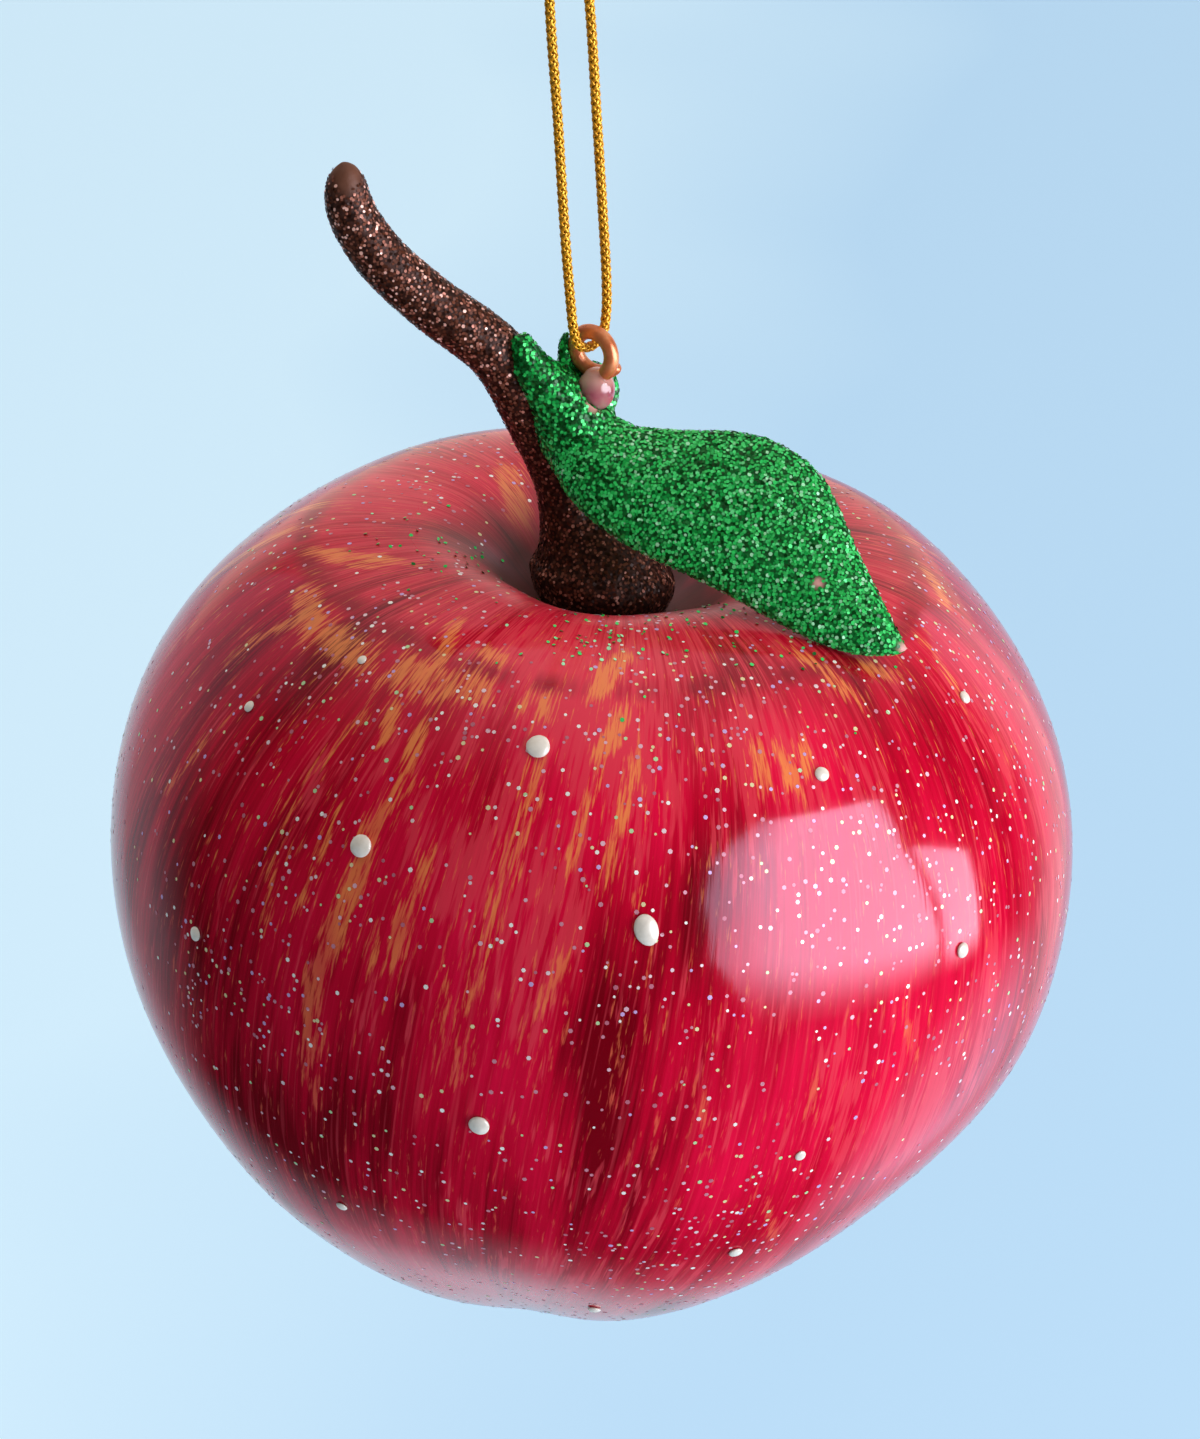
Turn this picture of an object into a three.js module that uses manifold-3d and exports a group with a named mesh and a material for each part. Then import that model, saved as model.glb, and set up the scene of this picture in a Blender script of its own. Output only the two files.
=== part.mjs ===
// Crab apple ornament: a hollow blown glass apple with a solid glass stem and leaf, raised enamel dots,
// and a wire ring in a glass bead that hangs it from a loop of gold cord.
// Millimetres, +Z up, the front towards -Y. The origin is where a hook bears under the cord's knot.
import * as THREE from "three";
import { mergeVertices } from "three/addons/utils/BufferGeometryUtils.js";
import Module from "manifold-3d";

const wasm = await Module();
wasm.setup();

// Fits
const seatGap = 0.3; // between pieces that are fused or glued on the real ornament
const wireGap = 0.22; // between the wire and the glass that closes round it

// Apple
const equatorRadius = 40;
const shoulderHeight = 27.1; // equator to the highest ring of the shoulder
const shoulderRadius = 17; // of that highest ring
const dimpleDepth = 6.9; // highest ring to the dimple's floor
const dimpleFloorRadius = 4.6;
const blowHoleRadius = 3; // the blowing hole that the stem closes
const baseDepth = 41.5; // equator to the lowest ring
const baseRimRadius = 9.2; // of that lowest ring
const calyxDepth = 2.4; // the hollow in the middle of the base
const wall = 1.2;
const hollowShift = [-0.057, 0.048]; // the blown hollow is a little off the middle, and the apple hangs level
const leanDegrees = 4.1; // the apple's own axis leans to the right
const lobeCount = 5;
const baseSwell = 0.08; // share by which the five lobes swell at the base
const baseLevel = 0.08; // how far the base is tilted back against the lean, as a slope
const baseLevelPower = 6; // how soon that tilt fades up the sides
const shoulderSwell = 0.037; // share by which the shoulder swells between them
const lobeDegrees = 5.1; // azimuth of the first lobe

// Stem
const footRadius = 5.9;
const footEdgeRadius = 3.6; // where the foot's rounded underside starts
const footShift = -0.55; // the foot sits a little beside the blowing hole
const footRise = 3.2; // underside to the widest place
const footSpread = 4.4; // how quickly the foot narrows to the neck
const footStraight = 9; // length over which the stem's sections turn from level to square with its route
const neckRadius = 2;
const neckShare = 0.2; // where along the stem the neck ends
const shaftRadius = 2.4; // at the thickest place, under the leaf's sheath
const shaftShare = 0.5; // where along the stem that is
const stemEndRadius = 1.65;
const stemTipLength = 2.1; // length of the rounded tip
const stemTipFlat = 0.05; // radius that is left at the very tip
const plugReach = 1; // how far the stem's plug stands out inside the apple

// Leaf
const leafLength = 33;
const leafAbove = 8.7; // widest, from the midrib to the upper edge
const leafBelow = 4.6; // widest, from the midrib to the lower edge
const leafThickness = 2.3;
const leafTipThickness = 1.2;
const leafArch = 1.3; // how far the blade bows towards the front
const leafCup = 0.8; // how far its edges fall back
const leafCupHalf = 6; // half width from which the edges fall back that far
const leafFullHalf = 1.2; // half width under which the blade thins
const leafEdgeFullness = 0.9; // powers that make the section fuller than an ellipse the smaller they are
const leafFaceFullness = 0.75;
const lumpFromBead = [-0.55, 1.6, -0.9]; // the lump of leaf glass that backs the bead
const lumpHalf = [2.35, 2.1, 2.5];
const peakFromRing = [-2.15, 1.2, -0.6]; // the drawn-up peak of leaf glass behind the ring
const peakHalf = [0.8, 0.85, 2];

// Ring, bead and cord
const ringRadius = 1.85; // middle of the wire
const wireRadius = 0.62;
const wireEndLength = 0.37; // of the rounding at the wire's two ends
const wireEndShare = 0.5; // the end's radius as a share of the wire's
const ringOverlap = 20; // degrees by which the wire's ends pass each other
const ringStartDegrees = -50; // where the front end stops, from the right
const ringPitch = 1.5; // sideways shift of the wire in one turn
const ringTurnDegrees = 30; // the ring's axis, from straight back towards the right
const beadWidth = 3;
const beadHeight = 3.6;
const cordDiameter = 0.8;
const knotCoreRadius = 1.8; // of the ring that the knot's turns wind on
const knotTurnRadius = 0.8;
const knotStrandRadius = 0.55; // the doubled cord inside the knot
const knotEntryRadius = 0.85; // where the two strands go in side by side
const knotTailLength = 4.2;
const knotShift = 1.56; // how far the knot lies beside the loop's middle
const knotLead = 1; // where the cord bends into the knot and out of it, beside the middle
const knotLeadDepth = 0.8; // in front of it going in, and behind it coming out
const knotOpening = 14; // degrees of the knot's round left open at each end for the cord to lead in and out

// Places, from the middle of the dimple's floor
const ringCentre = new THREE.Vector3(-1.24, -0.5, 23.35);
const beadCentre = new THREE.Vector3(-1.1, -0.95, 20.42);
const leafRoot = new THREE.Vector3(-3.94, -2.8, 16.65);
const leafAlong = new THREE.Vector3(0.83, -0.432, -0.353);
const leafAcross = new THREE.Vector3(0.551, 0.533, 0.642);
const stemRoute = [
  [-0.6, 0, 3.4],
  [-1.15, 0, 5.1],
  [-2.35, 0, 6.9],
  [-3.3, 0, 9.2],
  [-4.1, 0, 12.3],
  [-6.1, 0, 17.4],
  [-8.9, 0, 22.95],
  [-14.15, 0.1, 27.3],
  [-18.25, 0.5, 31.2],
  [-20.4, 0.8, 34.8],
  [-21.1, 1, 38.5],
];
// The sheath of leaf glass that runs up the stem: place and radius
const sheathRoute = [
  [-7.35, -1.1, 25.1, 0.8],
  [-7.05, -1.35, 24.2, 1.6],
  [-6.5, -1.5, 22.6, 2],
  [-5.2, -1.3, 20.8, 2.7],
  [-3.9, -1, 18.8, 3.3],
  [-2.5, -1.2, 16.4, 3.4],
  [-1.3, -1.9, 14.2, 3],
  [-0.2, -2.9, 12.6, 2],
];
// The cord, chosen by hand from the knot down the front, through the ring and up the back, from the hook's place
const cordRoute = [
  [-0.3, -0.26, 0.1],
  [-0.55, -0.6, -3.6],
  [-0.85, -1.0, -9.4],
  [-0.68, -1.2, -15.8],
  [-0.08, -1.4, -25.2],
  [0.4, -1.6, -33.8],
  [0.86, -1.72, -40],
  [1.08, -1.78, -42.2],
  [1.48, -1.36, -43.7],
  [2.42, -0.34, -44.24],
  [3.34, 0.7, -43.7],
  [3.66, 1.18, -42.2],
  [3.7, 1.32, -39.4],
  [3.35, 1.4, -32.6],
  [2.95, 1.35, -25.8],
  [2.35, 1.2, -15.8],
  [1.7, 0.9, -9.4],
  [0.95, 0.55, -3.6],
  [0.55, 0.26, 0.1],
];
const hookPlace = new THREE.Vector3(-4.0, 0.05, 68.05);

// Enamel dots: azimuth (degrees, 0 to the right, -90 to the front), latitude and width,
// and for one that isn't round its length as a share of the width and its turn
const dots = [
  [-101.1, 37.4, 1.95],
  [-121.1, 21.1, 1.9],
  [-85, 17.3, 2, 1.34, 24],
  [-102.2, -8.1, 1.75],
  [-135.8, 40.7, 0.85],
  [-148.3, 28.9, 1],
  [-142.1, 2.5, 1.25],
  [-58.9, 32.9, 1.25],
  [-26.1, 34.7, 1.15],
  [-43.3, 8.5, 1.35],
  [-64.6, -12.3, 1],
  [-122.6, -29.6, 1],
  [-68.9, -29.1, 1.2],
  [-84.4, -52.4, 1.15],
  [20, 8, 1.4],
  [6, -20, 1.2],
  [55, 22, 1.9],
  [47, 3, 1.5],
  [70, 36, 1.2],
  [86, 12, 2],
  [104, -18, 1.3],
  [128, 33, 1.6],
  [146, 6, 1.9],
  [172, -24, 1.1],
  [150, 20, 1.4],
];
const dotRise = 0.3; // height as a share of width

// Mesh fineness
const bodySides = 70;
const outerSteps = 34;
const innerSteps = 11;
const stemSides = 14;
const stemSteps = 37;
const stemCrowding = 0.09; // how much closer together the rings lie at the stem's two ends
const leafSteps = 22;
const leafSides = 18;
const sheathSteps = 12;
const beadSides = 14;
const lumpSides = 16;
const peakSides = 10;
const wireSides = 10;
const wireSteps = 36;
const dotSides = 10;
const cordSteps = 74;
const cordSides = 8;
const knotSteps = 64;

// Closes a stack of rings into one solid, each end with a fan to the middle of its ring.
function loft(rings) {
  const sides = rings[0].length;
  const points = rings.flat();
  const ends = [rings[0], rings[rings.length - 1]];
  ends.forEach((ring) => {
    const middle = new THREE.Vector3();
    ring.forEach((p) => middle.addScaledVector(p, 1 / sides));
    points.push(middle);
  });
  const faces = [];
  for (let k = 0; k + 1 < rings.length; k++) {
    for (let i = 0; i < sides; i++) {
      const a = k * sides + i;
      const b = k * sides + ((i + 1) % sides);
      faces.push(a, b, b + sides, a, b + sides, a + sides);
    }
  }
  const first = rings.length * sides;
  const top = (rings.length - 1) * sides;
  for (let i = 0; i < sides; i++) {
    const j = (i + 1) % sides;
    faces.push(first, j, i);
    faces.push(first + 1, top + i, top + j);
  }
  return outward(new THREE.BufferGeometry().setFromPoints(points).setIndex(faces));
}

// Turns the faces round where the solid comes out inside out.
function outward(geometry) {
  const p = geometry.getAttribute("position");
  const index = geometry.getIndex();
  const [a, b, c] = [new THREE.Vector3(), new THREE.Vector3(), new THREE.Vector3()];
  let volume = 0;
  for (let i = 0; i < index.count; i += 3) {
    a.fromBufferAttribute(p, index.getX(i));
    b.fromBufferAttribute(p, index.getX(i + 1));
    c.fromBufferAttribute(p, index.getX(i + 2));
    volume += a.dot(b.cross(c));
  }
  if (volume < 0) {
    for (let i = 0; i < index.count; i += 3) {
      const second = index.getX(i + 1);
      index.setX(i + 1, index.getX(i + 2));
      index.setX(i + 2, second);
    }
  }
  return geometry;
}

// A round tube along a curve whose radius changes; radiusAt takes the distance from the curve's start.
function sweep(curve, radiusAt, steps, sides) {
  const frames = curve.computeFrenetFrames(steps);
  const length = curve.getLength();
  const rings = [];
  for (let k = 0; k <= steps; k++) {
    const middle = curve.getPointAt(k / steps);
    rings.push(circle(middle, frames.normals[k], frames.binormals[k], radiusAt((k / steps) * length), sides));
  }
  return rings;
}

function circle(middle, across, over, radius, sides) {
  return Array.from({ length: sides }, (_, i) => {
    const turn = (i / sides) * 2 * Math.PI;
    return middle
      .clone()
      .addScaledVector(across, radius * Math.cos(turn))
      .addScaledVector(over, radius * Math.sin(turn));
  });
}

function curveThrough(points) {
  return new THREE.CatmullRomCurve3(points, false, "centripetal");
}

function solidOf(geometry) {
  const bare = geometry.clone();
  bare.deleteAttribute("normal");
  bare.deleteAttribute("uv");
  const merged = mergeVertices(bare, 1e-4);
  const mesh = new wasm.Mesh({
    numProp: 3,
    vertProperties: merged.getAttribute("position").array,
    triVerts: new Uint32Array(merged.getIndex().array),
  });
  return new wasm.Manifold(mesh);
}

function geometryOf(solid) {
  const mesh = solid.getMesh();
  return new THREE.BufferGeometry()
    .setAttribute("position", new THREE.BufferAttribute(mesh.vertProperties, 3))
    .setIndex(new THREE.BufferAttribute(mesh.triVerts, 1));
}

function ellipsoid(middle, [halfX, halfY, halfZ], sides) {
  return new THREE.SphereGeometry(1, sides, Math.round(sides * 0.6))
    .rotateX(Math.PI / 2)
    .scale(halfX, halfY, halfZ)
    .translate(middle.x, middle.y, middle.z);
}

// The apple's outline, from the middle of its base round the outside to the blowing hole.
const dimpleFloor = shoulderHeight - dimpleDepth;
const appleOutline = curveThrough(
  [
    [0, calyxDepth - baseDepth],
    [0.5 * baseRimRadius, 0.45 * calyxDepth - baseDepth],
    [baseRimRadius, -baseDepth],
    [0.325 * equatorRadius, -0.958 * baseDepth],
    [0.583 * equatorRadius, -0.7735 * baseDepth],
    [0.802 * equatorRadius, -0.561 * baseDepth],
    [0.956 * equatorRadius, -0.299 * baseDepth],
    [equatorRadius, 0],
    [0.954 * equatorRadius, 0.377 * shoulderHeight],
    [0.827 * equatorRadius, 0.705 * shoulderHeight],
    [0.638 * equatorRadius, 0.94 * shoulderHeight],
    [shoulderRadius, shoulderHeight],
    [0.824 * shoulderRadius, shoulderHeight - 0.05 * dimpleDepth],
    [0.676 * shoulderRadius, shoulderHeight - 0.21 * dimpleDepth],
    [0.56 * shoulderRadius, shoulderHeight - 0.43 * dimpleDepth],
    [0.47 * shoulderRadius, shoulderHeight - 0.67 * dimpleDepth],
    [0.37 * shoulderRadius, shoulderHeight - 0.88 * dimpleDepth],
    [dimpleFloorRadius, shoulderHeight - 0.985 * dimpleDepth],
    [blowHoleRadius, dimpleFloor],
  ].map(([radius, height]) => new THREE.Vector3(radius, 0, height)),
);

// How much the five lobes widen the apple at an azimuth and a point of its outline.
function swell(azimuth, radius, height) {
  const share = Math.sin(Math.atan2(height, radius)) ** 2;
  const amount = height < 0 ? baseSwell : -shoulderSwell;
  const turn = azimuth - THREE.MathUtils.degToRad(lobeDegrees);
  return 1 + amount * share * Math.cos(lobeCount * turn);
}

function applePoint(azimuth, p) {
  const radius = p.x * swell(azimuth, p.x, p.z);
  const low = p.z < 0 ? Math.sin(Math.atan2(p.z, p.x)) ** baseLevelPower : 0;
  const across = radius * Math.cos(azimuth);
  return new THREE.Vector3(across, radius * Math.sin(azimuth), p.z + baseLevel * low * across);
}

function glassBody() {
  const line = appleOutline.getSpacedPoints(outerSteps);
  for (let k = innerSteps; k >= 0; k--) {
    const along = appleOutline.getTangentAt(k / innerSteps);
    const p = appleOutline.getPointAt(k / innerSteps);
    p.x = Math.max(0, p.x - along.z * wall);
    p.z += along.x * wall;
    if (k === innerSteps) p.set(blowHoleRadius, 0, dimpleFloor - wall);
    if (k === 0) p.set(0, 0, calyxDepth - baseDepth + wall);
    line.push(p);
  }
  const profile = line.map((p) => new THREE.Vector2(p.x, p.z));
  const geometry = new THREE.LatheGeometry(profile, bodySides).rotateX(Math.PI / 2);
  geometry.deleteAttribute("normal");
  geometry.deleteAttribute("uv");
  const position = geometry.getAttribute("position");
  for (let i = 0; i < position.count; i++) {
    const p = new THREE.Vector3().fromBufferAttribute(position, i);
    const azimuth = Math.atan2(p.y, p.x);
    const q = applePoint(azimuth, new THREE.Vector3(Math.hypot(p.x, p.y), 0, p.z));
    const inside = i % profile.length > outerSteps ? 1 : 0;
    position.setXYZ(i, q.x + inside * hollowShift[0], q.y + inside * hollowShift[1], q.z);
  }
  return outward(mergeVertices(geometry, 1e-4));
}

// The point of the apple's outline at a latitude above the equator, or below it where negative.
function outlineAt(latitude) {
  let low = 0;
  let high = 1;
  for (let k = 0; k < 30; k++) {
    const middle = (low + high) / 2;
    const p = appleOutline.getPointAt(middle);
    if (Math.atan2(p.z, p.x) < latitude) low = middle;
    else high = middle;
  }
  return appleOutline.getPointAt(low);
}

function enamelDot(width, stretch) {
  const radius = width / 2;
  const height = width * dotRise;
  const dome = new THREE.SplineCurve([
    new THREE.Vector2(radius, 0.15 * height),
    new THREE.Vector2(0.85 * radius, 0.65 * height),
    new THREE.Vector2(0, height),
  ]).getPoints(3);
  const profile = [new THREE.Vector2(0, 0), new THREE.Vector2(0.92 * radius, 0), ...dome];
  const lathe = new THREE.LatheGeometry(profile, dotSides).rotateX(Math.PI / 2).scale(1, stretch, 1);
  lathe.deleteAttribute("normal");
  lathe.deleteAttribute("uv");
  return outward(mergeVertices(lathe, 1e-4));
}

function placeDot(mesh, azimuthDegrees, latitudeDegrees, turnDegrees) {
  const azimuth = THREE.MathUtils.degToRad(azimuthDegrees);
  const latitude = THREE.MathUtils.degToRad(latitudeDegrees);
  const step = 0.01;
  const here = applePoint(azimuth, outlineAt(latitude));
  const east = applePoint(azimuth + step, outlineAt(latitude)).sub(here);
  const north = applePoint(azimuth, outlineAt(latitude + step)).sub(here);
  const out = east.cross(north).normalize();
  mesh.quaternion.setFromUnitVectors(new THREE.Vector3(0, 0, 1), out);
  mesh.rotateZ(THREE.MathUtils.degToRad(turnDegrees));
  mesh.position.copy(here).addScaledVector(out, seatGap);
}

// The stem's radius at a distance from its underside; grow widens it for a cut.
function stemRadius(distance, length, grow) {
  const toTip = length - distance;
  const swelling = THREE.MathUtils.smoothstep(distance / length, neckShare, shaftShare);
  const fromTip = Math.min(1, toTip / (length * (1 - shaftShare)));
  const neck = toTip < length * (1 - shaftShare)
    ? stemEndRadius + (shaftRadius - stemEndRadius) * Math.sqrt(fromTip)
    : THREE.MathUtils.lerp(neckRadius, shaftRadius, swelling);
  if (toTip < stemTipLength) {
    const round = 1 - toTip / stemTipLength;
    return neck * Math.sqrt(Math.max(0, 1 - round * round)) + grow + stemTipFlat;
  }
  if (distance < footRise) {
    const round = 1 - distance / footRise;
    return footEdgeRadius + (footRadius - footEdgeRadius) * Math.sqrt(1 - round * round) + grow;
  }
  const spread = (distance - footRise) / footSpread;
  return neck + (footRadius - neck) * Math.exp(-spread * spread) + grow;
}

// Rings along the stem's route, closer together at both ends. The foot's stand level on the dimple's floor,
// and from there they turn till they are square with the route.
function stemRings(curve, up, grow) {
  const length = curve.getLength();
  return Array.from({ length: stemSteps + 1 }, (_, k) => {
    const even = k / stemSteps;
    const share = even - stemCrowding * Math.sin(2 * Math.PI * even);
    const turned = THREE.MathUtils.smoothstep(share * length, footRise, footStraight);
    const direction = up.clone().lerp(curve.getTangentAt(share), turned).normalize();
    const across = new THREE.Vector3(0, 1, 0).cross(direction).normalize();
    const over = direction.clone().cross(across);
    return circle(curve.getPointAt(share), across, over, stemRadius(share * length, length, grow), stemSides);
  });
}

function stemSolid(grow) {
  const lean = THREE.MathUtils.degToRad(leanDegrees);
  const up = new THREE.Vector3(Math.sin(lean), 0, Math.cos(lean));
  const across = new THREE.Vector3(Math.cos(lean), 0, -Math.sin(lean));
  const start = up.clone().multiplyScalar(seatGap);
  const foot = start.clone().addScaledVector(across, footShift);
  const curve = curveThrough([foot, ...stemRoute.map((p) => new THREE.Vector3(...p))]);
  const plugEnd = up.clone().multiplyScalar(-wall - plugReach);
  const over = new THREE.Vector3(0, 1, 0);
  const plug = [plugEnd, start].map((middle) =>
    circle(middle, across, over, blowHoleRadius - seatGap, stemSides),
  );
  return loft([...plug, ...stemRings(curve, up, grow)]);
}

// A leaf's edge: the share of its widest half at each share of its length.
const upperEdge = [[0, 0.48], [0.14, 0.49], [0.26, 0.73], [0.4, 1], [0.58, 0.99], [0.77, 0.53], [0.96, 0.08], [1, 0.01]];
const lowerEdge = [[0, 0.35], [0.09, 0.78], [0.27, 1], [0.52, 0.87], [0.78, 0.76], [0.89, 0.57], [0.97, 0.24], [1, 0.03]];

function edgeAt(edge, share) {
  const k = Math.max(1, edge.findIndex(([x]) => x >= share));
  const [x0, y0] = edge[k - 1];
  const [x1, y1] = edge[k];
  const before = edge[Math.max(0, k - 2)];
  const after = edge[Math.min(edge.length - 1, k + 1)];
  const u = (share - x0) / (x1 - x0);
  const slope0 = ((y1 - before[1]) / (x1 - before[0])) * (x1 - x0);
  const slope1 = ((after[1] - y0) / (after[0] - x0)) * (x1 - x0);
  return (
    y0 * (1 + 2 * u) * (1 - u) ** 2 +
    slope0 * u * (1 - u) ** 2 +
    y1 * u * u * (3 - 2 * u) +
    slope1 * u * u * (u - 1)
  );
}

function leafBlade() {
  const along = leafAlong.clone().normalize();
  const across = leafAcross.clone().addScaledVector(along, -leafAcross.dot(along)).normalize();
  const out = across.clone().cross(along).normalize();
  if (out.y > 0) out.negate();
  const rings = [];
  for (let k = 0; k <= leafSteps; k++) {
    const share = Math.sin((k / leafSteps) * (Math.PI / 2));
    const upper = leafAbove * edgeAt(upperEdge, share);
    const lower = -leafBelow * edgeAt(lowerEdge, share);
    const middle = (upper + lower) / 2;
    const half = (upper - lower) / 2;
    const thick = THREE.MathUtils.lerp(leafThickness, leafTipThickness, share) * Math.min(1, half / leafFullHalf);
    const bow = leafArch * Math.sin(Math.PI * share);
    rings.push(
      Array.from({ length: leafSides }, (_, i) => {
        const turn = (i / leafSides) * 2 * Math.PI;
        const side = Math.sign(Math.cos(turn)) * Math.abs(Math.cos(turn)) ** leafEdgeFullness;
        const face = Math.sign(Math.sin(turn)) * Math.abs(Math.sin(turn)) ** leafFaceFullness;
        const fall = leafCup * side * side * Math.min(1, half / leafCupHalf);
        return leafRoot
          .clone()
          .addScaledVector(along, share * leafLength)
          .addScaledVector(across, middle + half * side)
          .addScaledVector(out, (face * thick) / 2 + bow - fall);
      }),
    );
  }
  return loft(rings);
}

function sheath() {
  const places = sheathRoute.map(([x, y, z]) => new THREE.Vector3(x, y, z));
  const curve = curveThrough(places);
  const span = sheathRoute.length - 1;
  const frames = curve.computeFrenetFrames(sheathSteps);
  const rings = [];
  for (let k = 0; k <= sheathSteps; k++) {
    const at = (k / sheathSteps) * span;
    const low = Math.min(span - 1, Math.floor(at));
    const radius = THREE.MathUtils.lerp(sheathRoute[low][3], sheathRoute[low + 1][3], at - low);
    const middle = curve.getPointAt(k / sheathSteps);
    rings.push(circle(middle, frames.normals[k], frames.binormals[k], radius, stemSides));
  }
  return loft(rings);
}

function ringCurve() {
  const turn = THREE.MathUtils.degToRad(ringTurnDegrees);
  const right = new THREE.Vector3(Math.cos(turn), -Math.sin(turn), 0);
  const back = new THREE.Vector3(Math.sin(turn), Math.cos(turn), 0);
  const sweepDegrees = 360 + ringOverlap;
  const points = [];
  const count = 36;
  for (let k = 0; k <= count; k++) {
    const degrees = ringStartDegrees + (sweepDegrees * k) / count;
    const angle = THREE.MathUtils.degToRad(degrees);
    const shift = ringPitch * ((sweepDegrees / 360) * (k / count - 0.5));
    points.push(
      ringCentre
        .clone()
        .addScaledVector(right, ringRadius * Math.cos(angle))
        .addScaledVector(back, shift)
        .add(new THREE.Vector3(0, 0, ringRadius * Math.sin(angle))),
    );
  }
  return curveThrough(points);
}

function wireRing(grow) {
  const curve = ringCurve();
  const length = curve.getLength();
  const radiusAt = (s) => {
    const toEnd = Math.min(s, length - s);
    const round = Math.max(0, 1 - toEnd / wireEndLength);
    return wireRadius * Math.sqrt(1 - (1 - wireEndShare ** 2) * round * round) + grow;
  };
  return loft(sweep(curve, radiusAt, wireSteps, wireSides));
}

function hookBead(grow) {
  const half = beadWidth / 2 + grow;
  return ellipsoid(beadCentre, [half, half, beadHeight / 2 + grow], beadSides);
}

function leafSolid() {
  const lump = new THREE.Vector3(...lumpFromBead).add(beadCentre);
  const peak = new THREE.Vector3(...peakFromRing).add(ringCentre);
  return solidOf(leafBlade())
    .add(solidOf(sheath()))
    .add(solidOf(ellipsoid(lump, lumpHalf, lumpSides)))
    .add(solidOf(ellipsoid(peak, peakHalf, peakSides)))
    .subtract(solidOf(stemSolid(seatGap)))
    .subtract(solidOf(hookBead(wireGap)))
    .subtract(solidOf(wireRing(wireGap)));
}

function hangingCord() {
  const section = new THREE.Shape();
  const radius = cordDiameter / 2;
  for (let i = 0; i < cordSides; i++) {
    const turn = (i / cordSides) * 2 * Math.PI;
    const place = [radius * Math.cos(turn), radius * Math.sin(turn)];
    if (i === 0) section.moveTo(...place);
    else section.lineTo(...place);
  }
  section.closePath();
  const route = curveThrough(cordRoute.map((p) => new THREE.Vector3(...p)));
  const tube = new THREE.ExtrudeGeometry(section, { extrudePath: route, steps: cordSteps });
  tube.deleteAttribute("normal");
  tube.deleteAttribute("uv");
  return outward(mergeVertices(tube, 1e-4));
}

// An overhand knot tied in the doubled cord: one round of a trefoil, opened, with its ends led down and up.
function knotCurve() {
  const points = [];
  const opening = THREE.MathUtils.degToRad(knotOpening);
  const count = 54;
  const reach = knotCoreRadius + knotTurnRadius;
  const middle = seatGap + reach + knotStrandRadius;
  points.push(new THREE.Vector3(0, 0, seatGap + 0.1));
  points.push(new THREE.Vector3(knotLead, -knotLeadDepth, (seatGap + middle) / 2));
  for (let k = 0; k <= count; k++) {
    const turn = opening + (k / count) * 2 * (Math.PI - opening);
    const across = knotCoreRadius + knotTurnRadius * Math.cos(3 * turn);
    points.push(
      new THREE.Vector3(
        across * Math.cos(2 * turn) - knotShift,
        -knotTurnRadius * Math.sin(3 * turn),
        across * Math.sin(2 * turn) + middle,
      ),
    );
  }
  points.push(new THREE.Vector3(knotLead, knotLeadDepth, 1.5 * middle - 0.5 * seatGap));
  points.push(new THREE.Vector3(0, 0, 2 * middle - seatGap + knotTailLength));
  return curveThrough(points);
}

function cordKnot() {
  const curve = knotCurve();
  const radiusAt = (s) => {
    const entry = Math.max(0, 1 - s / (2 * knotEntryRadius));
    return THREE.MathUtils.lerp(knotStrandRadius, knotEntryRadius, entry);
  };
  return loft(sweep(curve, radiusAt, knotSteps, cordSides));
}

const glaze = new THREE.MeshStandardMaterial({ color: "#a5001f", roughness: 0.12, metalness: 0 });
const stemGlitter = new THREE.MeshStandardMaterial({ color: "#2a120c", roughness: 0.55, metalness: 0.2 });
const leafGlitter = new THREE.MeshStandardMaterial({ color: "#12752f", roughness: 0.5, metalness: 0.3 });
const pinkGlass = new THREE.MeshStandardMaterial({ color: "#b8707c", roughness: 0.1, metalness: 0 });
const copperWire = new THREE.MeshStandardMaterial({ color: "#d98345", roughness: 0.3, metalness: 1 });
const goldThread = new THREE.MeshStandardMaterial({ color: "#d9a520", roughness: 0.35, metalness: 0.8 });
const whiteEnamel = new THREE.MeshStandardMaterial({ color: "#f2efe6", roughness: 0.3, metalness: 0 });

function piece(name, geometry, material) {
  const mesh = new THREE.Mesh(geometry, material);
  mesh.name = name;
  return mesh;
}

// The apple and its dots lean together; what grows from the dimple is upright on the dimple's floor.
const ornament = new THREE.Group();
const apple = new THREE.Group();
const crown = new THREE.Group();
const lean = THREE.MathUtils.degToRad(leanDegrees);
apple.rotation.y = lean;
crown.position.set(dimpleFloor * Math.sin(lean), 0, dimpleFloor * Math.cos(lean));
ornament.position.copy(crown.position).add(hookPlace).negate();
ornament.add(apple, crown);

apple.add(piece("glass_body", glassBody(), glaze));
dots.forEach(([azimuth, latitude, width, stretch = 1, turn = 0], k) => {
  const dot = piece("enamel_dot_" + String(k + 1).padStart(2, "0"), enamelDot(width, stretch), whiteEnamel);
  placeDot(dot, azimuth, latitude, turn);
  apple.add(dot);
});
crown.add(piece("stem", stemSolid(0), stemGlitter));
crown.add(piece("leaf", geometryOf(leafSolid()), leafGlitter));
crown.add(piece("hook_bead", geometryOf(solidOf(hookBead(0)).subtract(solidOf(wireRing(wireGap)))), pinkGlass));
crown.add(piece("wire_ring", wireRing(0), copperWire));

const part = new THREE.Group();
part.add(ornament);
part.add(piece("hanging_cord", hangingCord(), goldThread));
part.add(piece("cord_knot", cordKnot(), goldThread));

export default part;
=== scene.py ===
import math

import bmesh
import bpy
import numpy as np
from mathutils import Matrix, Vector, noise
from mathutils.bvhtree import BVHTree


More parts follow.
